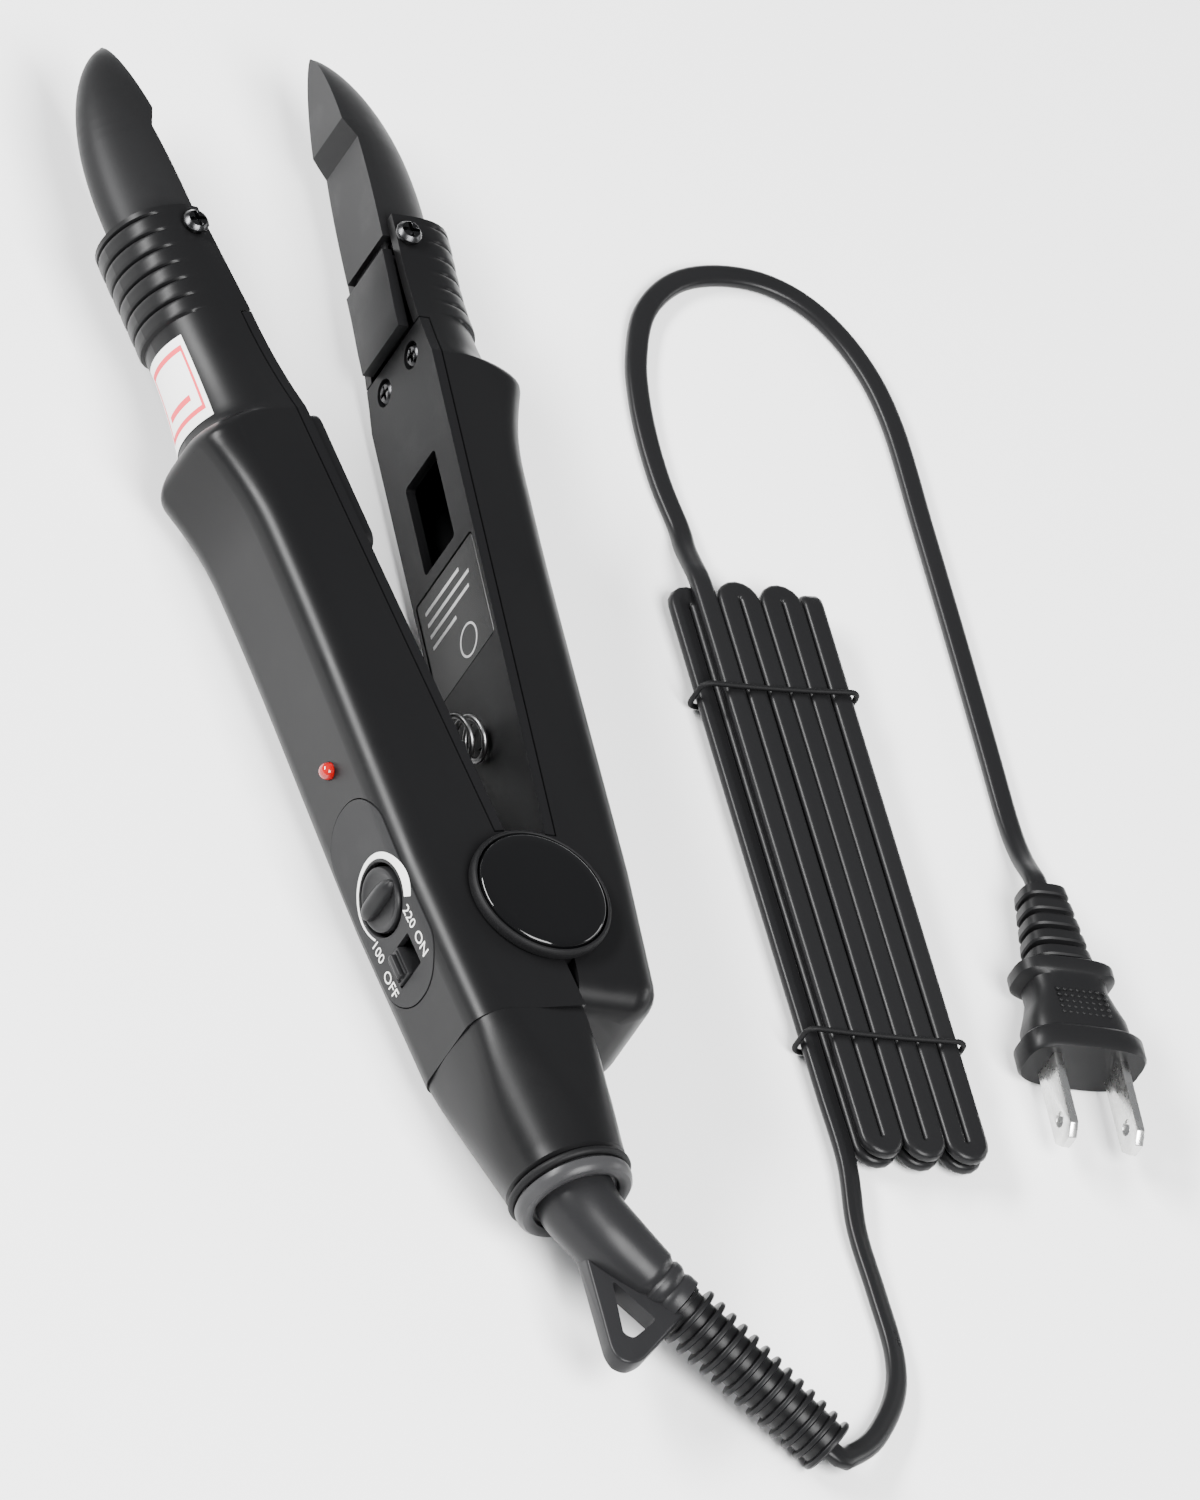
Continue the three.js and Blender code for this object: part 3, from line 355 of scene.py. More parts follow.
def carved(base, *steps):
    """base, with solids taken away, added or kept in common: steps are (operation, bmesh)."""
    def holder(bm):
        mesh = bpy.data.meshes.new("part")
        bmesh.ops.triangulate(bm, faces=[f for f in bm.faces if len(f.verts) > 4])
        bm.to_mesh(mesh)
        bm.free()
        obj = bpy.data.objects.new("part", mesh)
        bpy.context.scene.collection.objects.link(obj)
        return obj

    obj = holder(base)
    cutters = []
    for operation, bm in steps:
        cutter = holder(bm)
        cutters.append(cutter)
        modifier = obj.modifiers.new("carve", "BOOLEAN")
        modifier.object, modifier.operation, modifier.solver = cutter, operation, "MANIFOLD"
    made = obj.evaluated_get(bpy.context.evaluated_depsgraph_get()).to_mesh()
    result = bmesh.new()
    result.from_mesh(made)
    for o in [obj, *cutters]:
        mesh = o.data
        bpy.data.objects.remove(o)
        bpy.data.meshes.remove(mesh)
    bmesh.ops.remove_doubles(result, verts=result.verts, dist=1e-4)
    bmesh.ops.dissolve_degenerate(result, edges=result.edges, dist=1e-4)
    return result


def piece(
    name, bm, material, body="control_arm", stands_for=(), sharp=30, weighted=False, place=None,
):
    """Makes a mesh the named piece, riding on its body."""
    if place:
        placed(bm, place)
    placed(bm, Matrix.Scale(MM, 4))
    for face in bm.faces:
        face.smooth = True
    for edge in bm.edges:
        faces = edge.link_faces
        edge.smooth = len(faces) == 2 and faces[0].normal.angle(faces[1].normal, 0) < math.radians(sharp)
    mesh = bpy.data.meshes.new(name)
    bm.to_mesh(mesh)
    bm.free()
    obj = bpy.data.objects.new(name, mesh)
    bpy.context.scene.collection.objects.link(obj)
    mesh.materials.append(materials[material])
    if weighted:
        modifier = obj.modifiers.new("normals", "WEIGHTED_NORMAL")
        modifier.keep_sharp = True
    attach(obj, body)
    if stands_for:
        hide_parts(*stands_for)
    return obj


def dress(node, material, bevel=0.0):
    """Gives a CAD node its finish, and softens its edges."""
    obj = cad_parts[node]
    obj.data.materials.clear()
    obj.data.materials.append(materials[material])
    obj.modifiers.new("weld", "WELD").merge_threshold = 0.00002
    if bevel:
        modifier = obj.modifiers.new("edges", "BEVEL")
        modifier.width, modifier.segments, modifier.limit_method = bevel * MM, 2, "ANGLE"
        modifier.angle_limit = math.radians(40)
    for polygon in obj.data.polygons:
        polygon.use_smooth = True
    split = obj.modifiers.new("creases", "EDGE_SPLIT")
    split.split_angle = math.radians(35)


PLAIN = Matrix.Rotation(-OPEN_ANGLE, 4, "Z")


def eased(t):
    t = min(max(t, 0.0), 1.0)
    return t * t * (3 - 2 * t)


def bezier(a, b, c, d, steps):
    for k in range(steps + 1):
        t = k / steps
        s = 1 - t
        yield tuple(
            s ** 3 * a[i] + 3 * s * s * t * b[i] + 3 * s * t * t * c[i] + t ** 3 * d[i] for i in (0, 1)
        )


# ---- The lead: out of the strain relief, through the hank, and on to the plug ----
BEND = Vector((-57, 9.4, 15.2))
BOOT = Vector((-0.752, -0.632, -0.178)).normalized()
BOOT_END = 56
CORD_WIDTH, CORD_THICK = 4.0, 2.5
LIES_AT = CORD_THICK / 2 + 0.1
HANK_LENGTH, HANK_WIDTH, HANK_LIFT = 121.0, 29.0, 1.5
HANK = Matrix.Translation((17, -78, 0)) @ Matrix.Rotation(math.radians(-8.4), 4, "Z")
COLUMNS = 7
PITCH = (HANK_WIDTH - CORD_WIDTH - 0.2) / (COLUMNS - 1)
LAYERS = (HANK_LIFT + CORD_THICK / 2 + 0.05, HANK_LIFT + 1.5 * CORD_THICK + 0.2)
PLUG_AT, PLUG_TO = Vector((9, -116.6, 6.6)), Vector((-40.2, -106.6, 6.6))


def frame_along(start, towards):
    along = (towards - start).normalized()
    across = Vector((0, 0, 1)).cross(along).normalized()
    place = Matrix((along, across, along.cross(across))).transposed().to_4x4()
    place.translation = start
    return place


PLUG = frame_along(PLUG_AT, PLUG_TO)
NECK = frame_along(BEND, BEND + BOOT)


def through(points, spacing):
    """A smooth line through points (Catmull-Rom), with points about that far apart."""
    points = [Vector(p) for p in points]
    line = []
    ends = [2 * points[0] - points[1]] + points + [2 * points[-1] - points[-2]]
    for a, b, c, d in zip(ends, ends[1:], ends[2:], ends[3:]):
        steps = max(1, round((c - b).length / spacing))
        for k in range(steps):
            t = k / steps
            square, cube = 2 * a - 5 * b + 4 * c - d, 3 * b - a - 3 * c + d
            line.append(0.5 * (2 * b + t * (c - a) + t * t * square + t ** 3 * cube))
    return line + [points[-1]]


def hank_turns():
    """The runs of the hank, one long serpentine in two layers."""
    turn = HANK_LENGTH / 2 - CORD_WIDTH / 2 - PITCH / 2
    column = [(COLUMNS - 1) / 2 * PITCH - k * PITCH for k in range(COLUMNS)]
    route = [(k, 0) for k in range(COLUMNS)] + [(k, 1) for k in range(COLUMNS - 1, 0, -1)]
    line = []
    for i, (k, layer) in enumerate(route):
        heading = 1 if i % 2 == 0 else -1
        y, z = column[k], LAYERS[layer]
        wander = 0.22 * math.sin(1.7 * i + 0.6)
        for s in range(13):
            x = heading * turn * (s / 6 - 1)
            if i == 0 and s == 0:
                x = -HANK_LENGTH / 2
            if i == len(route) - 1 and s == 12:
                continue
            sway = wander * math.sin(math.pi * (s / 12))
            line.append(Vector((x, y + sway, z)))
        if i + 1 == len(route):
            break
        following = column[route[i + 1][0]]
        if layer == route[i + 1][1]:
            middle = (y + following) / 2
            for a in range(1, 8):
                angle = math.pi * a / 8
                line.append(
                    Vector((
                        heading * (turn + PITCH / 2 * math.sin(angle)),
                        middle + (y - middle) * math.cos(angle), z,
                    ))
                )
        else:
            rise, middle = (LAYERS[1] - LAYERS[0]) / 2, (LAYERS[1] + LAYERS[0]) / 2
            for a in range(1, 8):
                angle = math.pi * a / 8
                line.append(
                    Vector((
                        heading * (turn + 0.6 + rise * math.sin(angle)), y,
                        middle - rise * math.cos(angle),
                    ))
                )
    return [HANK @ p for p in line]


def cord_route():
    lead = [
        BEND + BOOT * (BOOT_END + GAP - 6),
        BEND + BOOT * (BOOT_END + 2),
        (-100.3, -30.5, 4.1),
        (-96.5, -37.6, 3.0),
        (-88.3, -45.6, 2.2),
        (-79.5, -49.8, 1.9),
        (-67, -51.8, 1.9),
        (-54, -53.4, 2.2),
    ]
    turns = hank_turns()
    last = HANK.inverted() @ turns[-1]
    tail = [
        HANK @ Vector((HANK_LENGTH / 2 - 0.5, last.y - 0.1, LAYERS[1] - 0.3)),
        HANK @ Vector((HANK_LENGTH / 2 + 4.5, last.y - 0.5, 3.8)),
        HANK @ Vector((HANK_LENGTH / 2 + 9.3, last.y - 1.1, 2.2)),
        (92, -82.4, LIES_AT),
        (101, -82.8, LIES_AT),
        (110.5, -84.2, LIES_AT),
        (119.5, -86.4, LIES_AT),
        (128, -89.6, LIES_AT),
        (137.2, -95.4, LIES_AT),
        (143, -104, LIES_AT),
        (144.2, -113.6, LIES_AT),
        (141.6, -123, LIES_AT),
        (135, -130, LIES_AT),
        (124.3, -134.2, LIES_AT),
        (110.8, -134.8, LIES_AT),
        (88.8, -131.4, LIES_AT),
        (65, -127.6, LIES_AT),
        (42.4, -123.8, LIES_AT),
        (27, -121, 1.6),
        (18.5, -119, 3.4),
        PLUG @ Vector((-3, 0, -0.3)),
        PLUG @ Vector((1, 0, 0)),
    ]
    return through(lead + turns + tail, 1.8)


def carried_frames(line, first_up):
    """Across and up at each point of a line, carried along it without twist."""
    up, frames = Vector(first_up), []
    for i, p in enumerate(line):
        ahead = (line[min(i + 1, len(line) - 1)] - line[max(i - 1, 0)]).normalized()
        up = (up - ahead * up.dot(ahead)).normalized()
        frames.append((up.cross(ahead), up))
    return frames


def tube_along(line, section, first_up=(0, 0, 1)):
    """A closed tube: section(share of the length) gives (across, up) points in millimetres."""
    frames = carried_frames(line, first_up)
    rings = []
    for i, (p, (across, up)) in enumerate(zip(line, frames)):
        rings.append([p + across * a + up * b for a, b in section(i / (len(line) - 1))])
    return grid_through(rings)


def two_lobes(_share):
    """The section of flat twin cord: two round cores with a shallow valley between them."""
    points = []
    for k in range(20):
        angle = 2 * math.pi * (k + 0.5) / 20
        across = CORD_WIDTH / 2 * math.copysign(abs(math.cos(angle)) ** 0.85, math.cos(angle))
        valley = 1 - 0.2 * math.exp(-((across / 0.42) ** 2))
        up = CORD_THICK / 2 * math.copysign(abs(math.sin(angle)) ** 0.72, math.sin(angle)) * valley
        points.append((across, up))
    return points


def make_cord(plug_pieces):
    line = cord_route()
    obj = piece("mains_cord", tube_along(line, two_lobes), "cord",
                stands_for=("cord_lead", "cord_hank", "cord_tail"), sharp=60)
    length = sum((b - a).length for a, b in zip(line, line[1:])) * MM
    [tuple(p * MM) for p in line]


def rounded_oval(half_width, half_height, power=3.2, count=36):
    """A superellipse as (across, up) points."""
    points = []
    for k in range(count):
        angle = 2 * math.pi * (k + 0.5) / count
        c, s = math.cos(angle), math.sin(angle)
        points.append((
            half_width * math.copysign(abs(c) ** (2 / power), c),
            half_height * math.copysign(abs(s) ** (2 / power), s),
        ))
    return points


def stations_skin(stations, power=3.2):
    """A skin through superellipses: stations are (x, width, height)."""
    rings = []
    for x, width, height in stations:
        rings.append([Vector((x, a, b)) for a, b in rounded_oval(width / 2, height / 2, power)])
    return grid_through(rings)


def make_plug():
    stations = [(0, 6.6, 5.0), (0.3, 7.4, 5.8)]
    for i in range(5):
        x, width, height = i * 3.4 + 0.2, 8.4 + i * 0.75, 6.8 + i * 0.35
        stations += [(x, width - 0.8, height - 0.8), (x + 0.25, width, height),
            (x + 2.0, width + 0.5, height + 0.2),
                     (x + 2.35, width, height - 0.3), (x + 2.45, 7.0, 5.4), (x + 3.35, 7.2, 5.6)]
    stations += [(17, 12, 8), (17.1, 17.2, 9.6), (17.5, 18.4, 10.4), (19.6, 18.4, 10.4),
        (20.1, 17.2, 9.8),
                 (20.6, 14.4, 9.4), (23, 14.2, 9.6), (26, 16.2, 10.2), (29, 18.6, 10.8), (31.2, 18.9, 11),
                 (32.2, 18.8, 11), (32.5, 21.6, 12), (33, 22.6, 12.4), (36.4, 22.6, 12.4),
                     (37, 21.8, 11.8)]
    body = piece("plug_moulding", stations_skin(stations), "plug",
        stands_for=("plug_body",),
                 sharp=38, place=PLUG)
    grips = []
    for row in range(5):
        for column in range(8):
            x, y = 24.4 + row * 1.25, -4.4 + column * 1.25
            for side in (1, -1):
                bm = bmesh.new()
                bmesh.ops.create_icosphere(bm, subdivisions=1, radius=0.42)
                bmesh.ops.translate(bm, verts=bm.verts, vec=(x, y, side * (4.92 + 0.055 * (x - 24.4))))
                grips.append(bm)
    grip = piece("plug_grip_dots", merged(*grips), "plug", sharp=60, place=PLUG)
    for node in ("plug_blade_1", "plug_blade_2"):
        dress(node, "nickel", 0.18)
    return [body, grip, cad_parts["plug_blade_1"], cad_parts["plug_blade_2"]]


def wire_loop(x, lean):
    """A tie's wire, round the hank."""
    a, low, high = HANK_WIDTH / 2 + 0.7, HANK_LIFT - 0.7, HANK_LIFT + 2 * CORD_THICK + 0.95
    radius = 1.6
    corners = [(a, high), (-a, high), (-a, low), (a, low)]
    loop = []
    for i, (y, z) in enumerate(corners):
        start = (0, 90, 180, 270)[i]
        cy, cz = y - math.copysign(radius, y), z - math.copysign(radius, z - (low + high) / 2)
        for step in range(5):
            angle = math.radians(start + 90 * step / 4)
            loop.append(Vector((0, cy + radius * math.cos(angle), cz + radius * math.sin(angle))))
        if i in (0, 2):
            for share in (0.25, 0.5, 0.75):
                end = corners[(i + 1) % 4][0]
                sag = 0.28 * math.sin(share * math.pi * 7) if i == 0 else 0
                loop.append(Vector((
                    0, cy + (end + math.copysign(radius, y) - cy) * share, z + sag - 0.1,
                )))
    for i, p in enumerate(loop):
        p.x = x + lean * p.y
    return loop


def make_ties():
    made = []
    for number, (x, lean) in enumerate(((-36, 0.02), (37, -0.015)), 1):
        loop = wire_loop(x, lean)
        ring = [(
            0.5 * math.cos(2 * math.pi * k / 10), 0.5 * math.sin(2 * math.pi * k / 10),
        ) for k in range(10)]
        turned = through(loop + loop[:1], 1.5)[:-1]
        rings = []
        for i, p in enumerate(turned):
            ahead = (turned[(i + 1) % len(turned)] - turned[i - 1]).normalized()
            up = Vector((1, 0, 0))
            across = up.cross(ahead).normalized()
            rings.append([p + across * u + up * v for u, v in ring])
        loop_mesh = grid_through(rings + rings[:1], caps=False)
        made.append(piece(f"hank_tie_{number}", loop_mesh, "rubber",
                          stands_for=(f"cord_tie_{number}",), sharp=60, place=HANK))
    return made


make_cord(make_plug() + make_ties())

# ---- The arms' casings ----
NOSE_FRONT, NOSE_RADIUS, NOSE_CENTRE = 148.0, 9.5, 7.4
RIBS, RIB_PITCH, RIB_HEIGHT = 6, 3.4, 0.75
EDGE = 5.0
LIP_FLARE, LIP_RADIUS = 0.8, 2.6
COVER_START, COVER_END, COVER_THICK = 14.3, 125.0, 1.8
BARREL_Y, BARREL_END, PARTING = 9.4, -49.0, -22.0


class Arm:
    """The outer form of one arm, told by its distance along X."""

    def __init__(self, side, shoulder, depth, tail, gaps, bevels):
        self.side, self.shoulder, self.depth, self.tail = side, shoulder, depth, tail
        self.gaps, self.bevels = gaps, bevels
        waist, lip = depth * 0.88, depth + LIP_FLARE
        arc = []
        for k in range(9):
            angle = math.pi * 0.6 * (1 - k / 8)
            arc.append((
                shoulder - LIP_RADIUS + LIP_RADIUS * math.cos(angle),
                lip - LIP_RADIUS + LIP_RADIUS * math.sin(angle),
            ))
        self.line = [(-80, depth)]
        self.line += bezier(
            (10, depth), (40, depth - 1), (shoulder - 45, waist), (shoulder - 22, waist), 20,
        )
        self.line += list(bezier(
            (shoulder - 22, waist), (shoulder - 14, waist), (shoulder - 9, waist + 1.6), arc[0], 12,
        ))[1:]
        self.line += arc[1:]
        self.lip_stations = [x for x, _ in arc]

    def inner_face(self, x):
        """The inner face's distance from the closing plane, along Y."""
        rear, front = self.gaps
        return rear + (front - rear) * x / NOSE_FRONT

    def nose_radius(self, x):
        t = min(max((self.shoulder + 22 - x) / 22, 0), 1)
        return NOSE_RADIUS + t * t * (12 - NOSE_RADIUS)

    def outer_depth(self, x):
        if x > self.shoulder:
            return NOSE_CENTRE + self.nose_radius(x)
        for (x0, y0), (x1, y1) in zip(self.line, self.line[1:]):
            if x0 <= x <= x1:
                return y0 + (y1 - y0) * (x - x0) / max(x1 - x0, 1e-9)
        return self.line[-1][1]

    def section(self, x, inset=0.0, reach=0.0):
        """Points round the section at x as (y, z): inset moves them in, reach moves the open side out."""
        height = self.nose_radius(x) if x > self.shoulder else 12.0
        depth = self.outer_depth(x)
        blend = eased((x - self.shoulder + 4.5) / 7)
        corner = EDGE + (height - 0.04 - EDGE) * blend
        past = x - self.tail
        if past < EDGE + 1.5:
            turn = EDGE + 1.5
            depth = depth - turn + math.sqrt(max(turn ** 2 - (turn - past) ** 2, 0))
        if past < EDGE:
            pull = EDGE - math.sqrt(max(EDGE ** 2 - (EDGE - past) ** 2, 0))
            height, corner = height - pull, max(EDGE - pull, 0.8)
        inner = self.inner_face(x) - reach
        depth, height, corner = depth - inset, height - inset, max(corner - inset, 0.4)
        tilt = min(max((x - COVER_END - 1) / (NOSE_FRONT - COVER_END), 0), 1) * 2.5
        points = []
        for up in (1, -1):
            half = []
            sloped = tilt if up in self.bevels else 0.0
            for k in range(5):
                y = inner + (depth - corner - inner) * k / 5
                drop = sloped * max(NOSE_CENTRE - 1.6 - y, 0) / (NOSE_CENTRE + 0.1)
                half.append((y, height - drop))
            for k in range(12):
                angle = math.pi / 2 * k / 11
                out = self.rib(x, angle) if not inset else 0.0
                half.append((
                    depth - corner + (corner + out) * math.sin(angle),
                    height - corner + (corner + out) * math.cos(angle),
                ))
            half.append((
                depth + (self.rib(x, math.pi / 2) if not inset else 0.0), (height - corner) * 0.4,
            ))
            half = [(y, up * z) for y, z in half]
            points += half if up > 0 else half[::-1]
        return [Vector((x, self.side * y, MID_Z + z)) for y, z in points]

    def rib(self, x, angle):
        first = NOSE_FRONT - RIBS * RIB_PITCH - 1.2
        share = (x - first) / RIB_PITCH
        if share < 0 or x > NOSE_FRONT:
            return 0.0
        bump = 1 - abs(2 * (share % 1) - 1) ** 8
        if share > RIBS:
            bump = 0.9
        fade = eased((math.degrees(angle) - 6) / 42)
        return RIB_HEIGHT * bump * fade

    def stations(self, start, end):
        near = [start, end, 0, 5, 10] + [14.5 + 5 * k for k in range(14)]
        near += [self.shoulder - 22 + 1.6 * k for k in range(12)]
        near += self.lip_stations + [self.shoulder + d for d in (
            0.25, 0.8, 1.5, 2.6, 4, 6, 8, 10, 12.5, 15, 18,
        )]
        first = NOSE_FRONT - RIBS * RIB_PITCH - 1.2
        near += [first + 0.34 * k for k in range(64)]
        near += [self.tail + d for d in (0.05, 0.3, 0.8, 1.6, 2.6, 3.8, 5, 6.5)]
        kept = []
        for x in sorted(near):
            if start <= x <= end and (not kept or x - kept[-1] > 0.12):
                kept.append(x)
        kept[-1] = end
        return kept

    def solid(self, start, end, inset=0.0, reach=0.0):
        return grid_through([self.section(x, inset, reach) for x in self.stations(start, end)])

    def layer(self, x0, x1, lift, thick):
        """A slab over the inner face from lift to thick, as high as the arm and more."""
        y = [(x, self.inner_face(x)) for x in (x0, x1)]
        corners = [(x, self.side * (f + lift)) for x, f in y]
        corners += [(x, self.side * (f + thick)) for x, f in y[::-1]]
        return flipped(raised(corners, -5, 40))

    def surface(self, x, z):
        """Where the outer face is, along Y, at a place seen from outside."""
        out = abs(z - MID_Z) - (12 - EDGE)
        drop = EDGE - math.sqrt(max(EDGE ** 2 - out ** 2, 0)) if out > 0 else 0
        return self.outer_depth(x) - drop


CONTROL = Arm(1, 103, 21.6, -60, (0.2, 2.2), (1, -1))
OTHER = Arm(-1, 117, 21.0, -20, (4.5, 3.3), (-1,))
SCREWS_X, SCREWS_Z = COVER_END - 4.2, 5.3


def racetrack(length, width, radius, steps=10):
    points = []
    for i, (sx, sy) in enumerate(((1, 1), (-1, 1), (-1, -1), (1, -1))):
        for k in range(steps + 1):
            angle = math.pi / 2 * (i + k / steps)
            points.append((
                sx * (length / 2 - radius) + radius * math.cos(angle),
                sy * (width / 2 - radius) + radius * math.sin(angle),
            ))
    kept = [p for p, q in zip(points, points[1:] + points[:1]) if math.dist(p, q) > 1e-3]
    return kept


def plate(outline, x, z, y0, y1, bevel=0.0, segments=3):
    """A plate seen along Y, its outline centred on (x, z)."""
    bm = placed(raised(outline, y0, y1, bevel, segments), UPRIGHT)
    bmesh.ops.translate(bm, verts=bm.verts, vec=(x, 0, z))
    return flipped(bm)


def rod(x, z, y0, y1, radius, steps=48):
    """A round bar along Y."""
    bm = placed(spun([(y0, radius), (y1, radius)], steps), X_TO_Y)
    bmesh.ops.translate(bm, verts=bm.verts, vec=(x, 0, z))
    return flipped(bm)


def post(z0, z1, radius, steps=64):
    return flipped(placed(spun([(z0, radius), (z1, radius)], steps), X_TO_Z))


PANEL_AT, PANEL_SIZE = (8.9, 15.4), (38.6, 17.4)
KNOB_AT, SWITCH_AT, LAMP_AT = (9.2, 16.0), (-2.7, 15.0), (35.9, 16.0)


def panel_prism(grow):
    length, width = (s + 2 * grow for s in PANEL_SIZE)
    return plate(racetrack(length, width, width / 2 - 0.4, 14), *PANEL_AT, 6, 40)


def make_casings():
    hollow = CONTROL.solid(COVER_START, NOSE_FRONT + 3, WALL, 6)
    control = carved(
        CONTROL.solid(PARTING + 0.03, NOSE_FRONT),
        ("UNION", post(LOW_Z, LOW_Z + 6, 12.3)),
        ("UNION", post(HIGH_Z - 6, HIGH_Z, 12.3)),
        ("DIFFERENCE", hollow),
        ("DIFFERENCE", post(LOW_Z + 6, HIGH_Z - 6, 11.6)),
        ("DIFFERENCE", post(-5, 40, 3.3)),
        ("DIFFERENCE", CONTROL.layer(COVER_START - GAP, COVER_END + GAP, -6, COVER_THICK + GAP)),
        ("DIFFERENCE", carved(panel_prism(0.22), ("DIFFERENCE", CONTROL.solid(-40, 60, 1.5)))),
        ("DIFFERENCE", plate(racetrack(30, 13, 2), *PANEL_AT, 12, 40)),
        ("DIFFERENCE", rod(*LAMP_AT, 10, 40, 1.62, 32)),
    )
    piece("control_casing", control, "casing", stands_for=("control_shell",), weighted=True)
    other = carved(
        OTHER.solid(-20, NOSE_FRONT),
        ("DIFFERENCE", OTHER.solid(COVER_START, NOSE_FRONT + 3, WALL, 6)),
        ("UNION", post(LOW_Z + 6 + GAP, HIGH_Z - 6 - GAP, 11.3)),
        ("DIFFERENCE", post(-5, LOW_Z + 6 + GAP, 12.6)),
        ("DIFFERENCE", post(HIGH_Z - 6 - GAP, 40, 12.6)),
        ("DIFFERENCE", post(-5, 40, 3.3)),
        ("DIFFERENCE", OTHER.layer(COVER_START - GAP, COVER_END + GAP, -6, COVER_THICK + GAP)),
    )
    piece("plain_casing", other, "casing", body="plain_arm", stands_for=("plain_shell",),
          weighted=True, place=PLAIN)


FIN_X, FIN_LENGTH, FIN_WIDTH = 91.2, 16.5, 10.6
LABEL_X, LABEL_SIZE = 68.5, (21, 21.5)
SPRING_X, SPRING_RADIUS, SPRING_WIRE, SPRING_TURNS = 43.0, 4.2, 1.0, 5


def screw_wells(arm):
    wells = []
    for z in (MID_Z + SCREWS_Z, MID_Z - SCREWS_Z):
        seat = arm.side * (arm.inner_face(SCREWS_X) + 1.45)
        wells.append(("DIFFERENCE", rod(SCREWS_X, z, *sorted((-arm.side * 12, seat)), 2.5, 32)))
        wells.append(("DIFFERENCE", rod(SCREWS_X, z, -20, 20, 1.3, 16)))
    return wells


def make_covers():
    face = CONTROL.inner_face
    fin = plate(racetrack(FIN_LENGTH, FIN_WIDTH, 1), FIN_X, MID_Z, -5.3, 2.2, 0.5)
    pad = plate(racetrack(28, 22, 2.5), 89, MID_Z, face(89) - 2.6, face(89) + 0.9, 0.4)
    control = carved(
        CONTROL.solid(0, NOSE_FRONT),
        ("INTERSECT", CONTROL.layer(COVER_START, COVER_END, -4, COVER_THICK)),
        ("UNION", pad),
        ("UNION", fin),
        ("UNION", rod(SPRING_X, MID_Z, face(SPRING_X) - 1.6, face(SPRING_X) + 0.6, 2.6, 32)),
        *screw_wells(CONTROL),
    )
    piece(
        "control_inner_plate", control, "inner", stands_for=("control_inner_cover",),
        weighted=True,
    )
    face = OTHER.inner_face
    other = carved(
        OTHER.solid(0, NOSE_FRONT),
        ("INTERSECT", OTHER.layer(COVER_START, COVER_END, -4, COVER_THICK)),
        ("DIFFERENCE", plate(racetrack(FIN_LENGTH + 2, FIN_WIDTH + 1, 0.8), FIN_X, MID_Z, -20, 5)),
        (
            "DIFFERENCE",
            plate(
                racetrack(LABEL_SIZE[0] + 0.6, LABEL_SIZE[1] + 0.6, 0.9), LABEL_X, MID_Z,
                -face(LABEL_X) - 0.5, 5,
            ),
        ),
        ("UNION", rod(SPRING_X, MID_Z, -face(SPRING_X) - 0.6, -face(SPRING_X) + 0.9, 1.9, 32)),
        *screw_wells(OTHER),
    )
    piece("plain_inner_plate", other, "inner", body="plain_arm",
        stands_for=("plain_inner_cover",),
          weighted=True, place=PLAIN)


def rounded_box_radius(direction, half_y, half_z, corner):
    """From the middle of a rounded rectangle to its edge, in that direction (y, z)."""
    low, high = 0.0, 40.0
    for _ in range(32):
        middle = (low + high) / 2
        y = max(abs(direction[0] * middle) - half_y + corner, 0)
        z = max(abs(direction[1] * middle) - half_z + corner, 0)
        if math.hypot(y, z) > corner:
            high = middle
        else:
            low = middle
    return low


def make_barrel():
    """The rear of the control arm: it turns from the arm's flat sides to a round end."""
    rings = []
    middle, half = (0.2 + CONTROL.depth) / 2, (CONTROL.depth - 0.2) / 2
    steps = 26
    for k in range(steps + 1):
        x = PARTING - 0.03 + (BARREL_END - PARTING + 0.03) * k / steps
        cone = 10.6 + (x - BARREL_END) / 26 * 4.35
        round_part = 10.6 + (x - BARREL_END) / 27 * 1.3
        if k == steps:
            cone, round_part = cone - 0.5, round_part - 0.5
        elif k == steps - 1:
            x = BARREL_END + 0.5
        offset = middle - BARREL_Y
        ring = []
        for a in range(72):
            angle = 2 * math.pi * a / 72
            d = (math.cos(angle), math.sin(angle))
            corner = EDGE if d[0] > 0 else 0.8
            flat = rounded_box_radius(d, half, 12, corner) + offset * d[0] * 0.98
            soft = 0.35
            least = -soft * math.log(math.exp(-flat / soft) + math.exp(-cone / soft))
            r = max(least, round_part)
            ring.append(Vector((x, BARREL_Y + r * d[0], MID_Z + r * d[1])))
        rings.append(ring)
    return piece("rear_barrel", grid_through(rings), "casing", sharp=28)


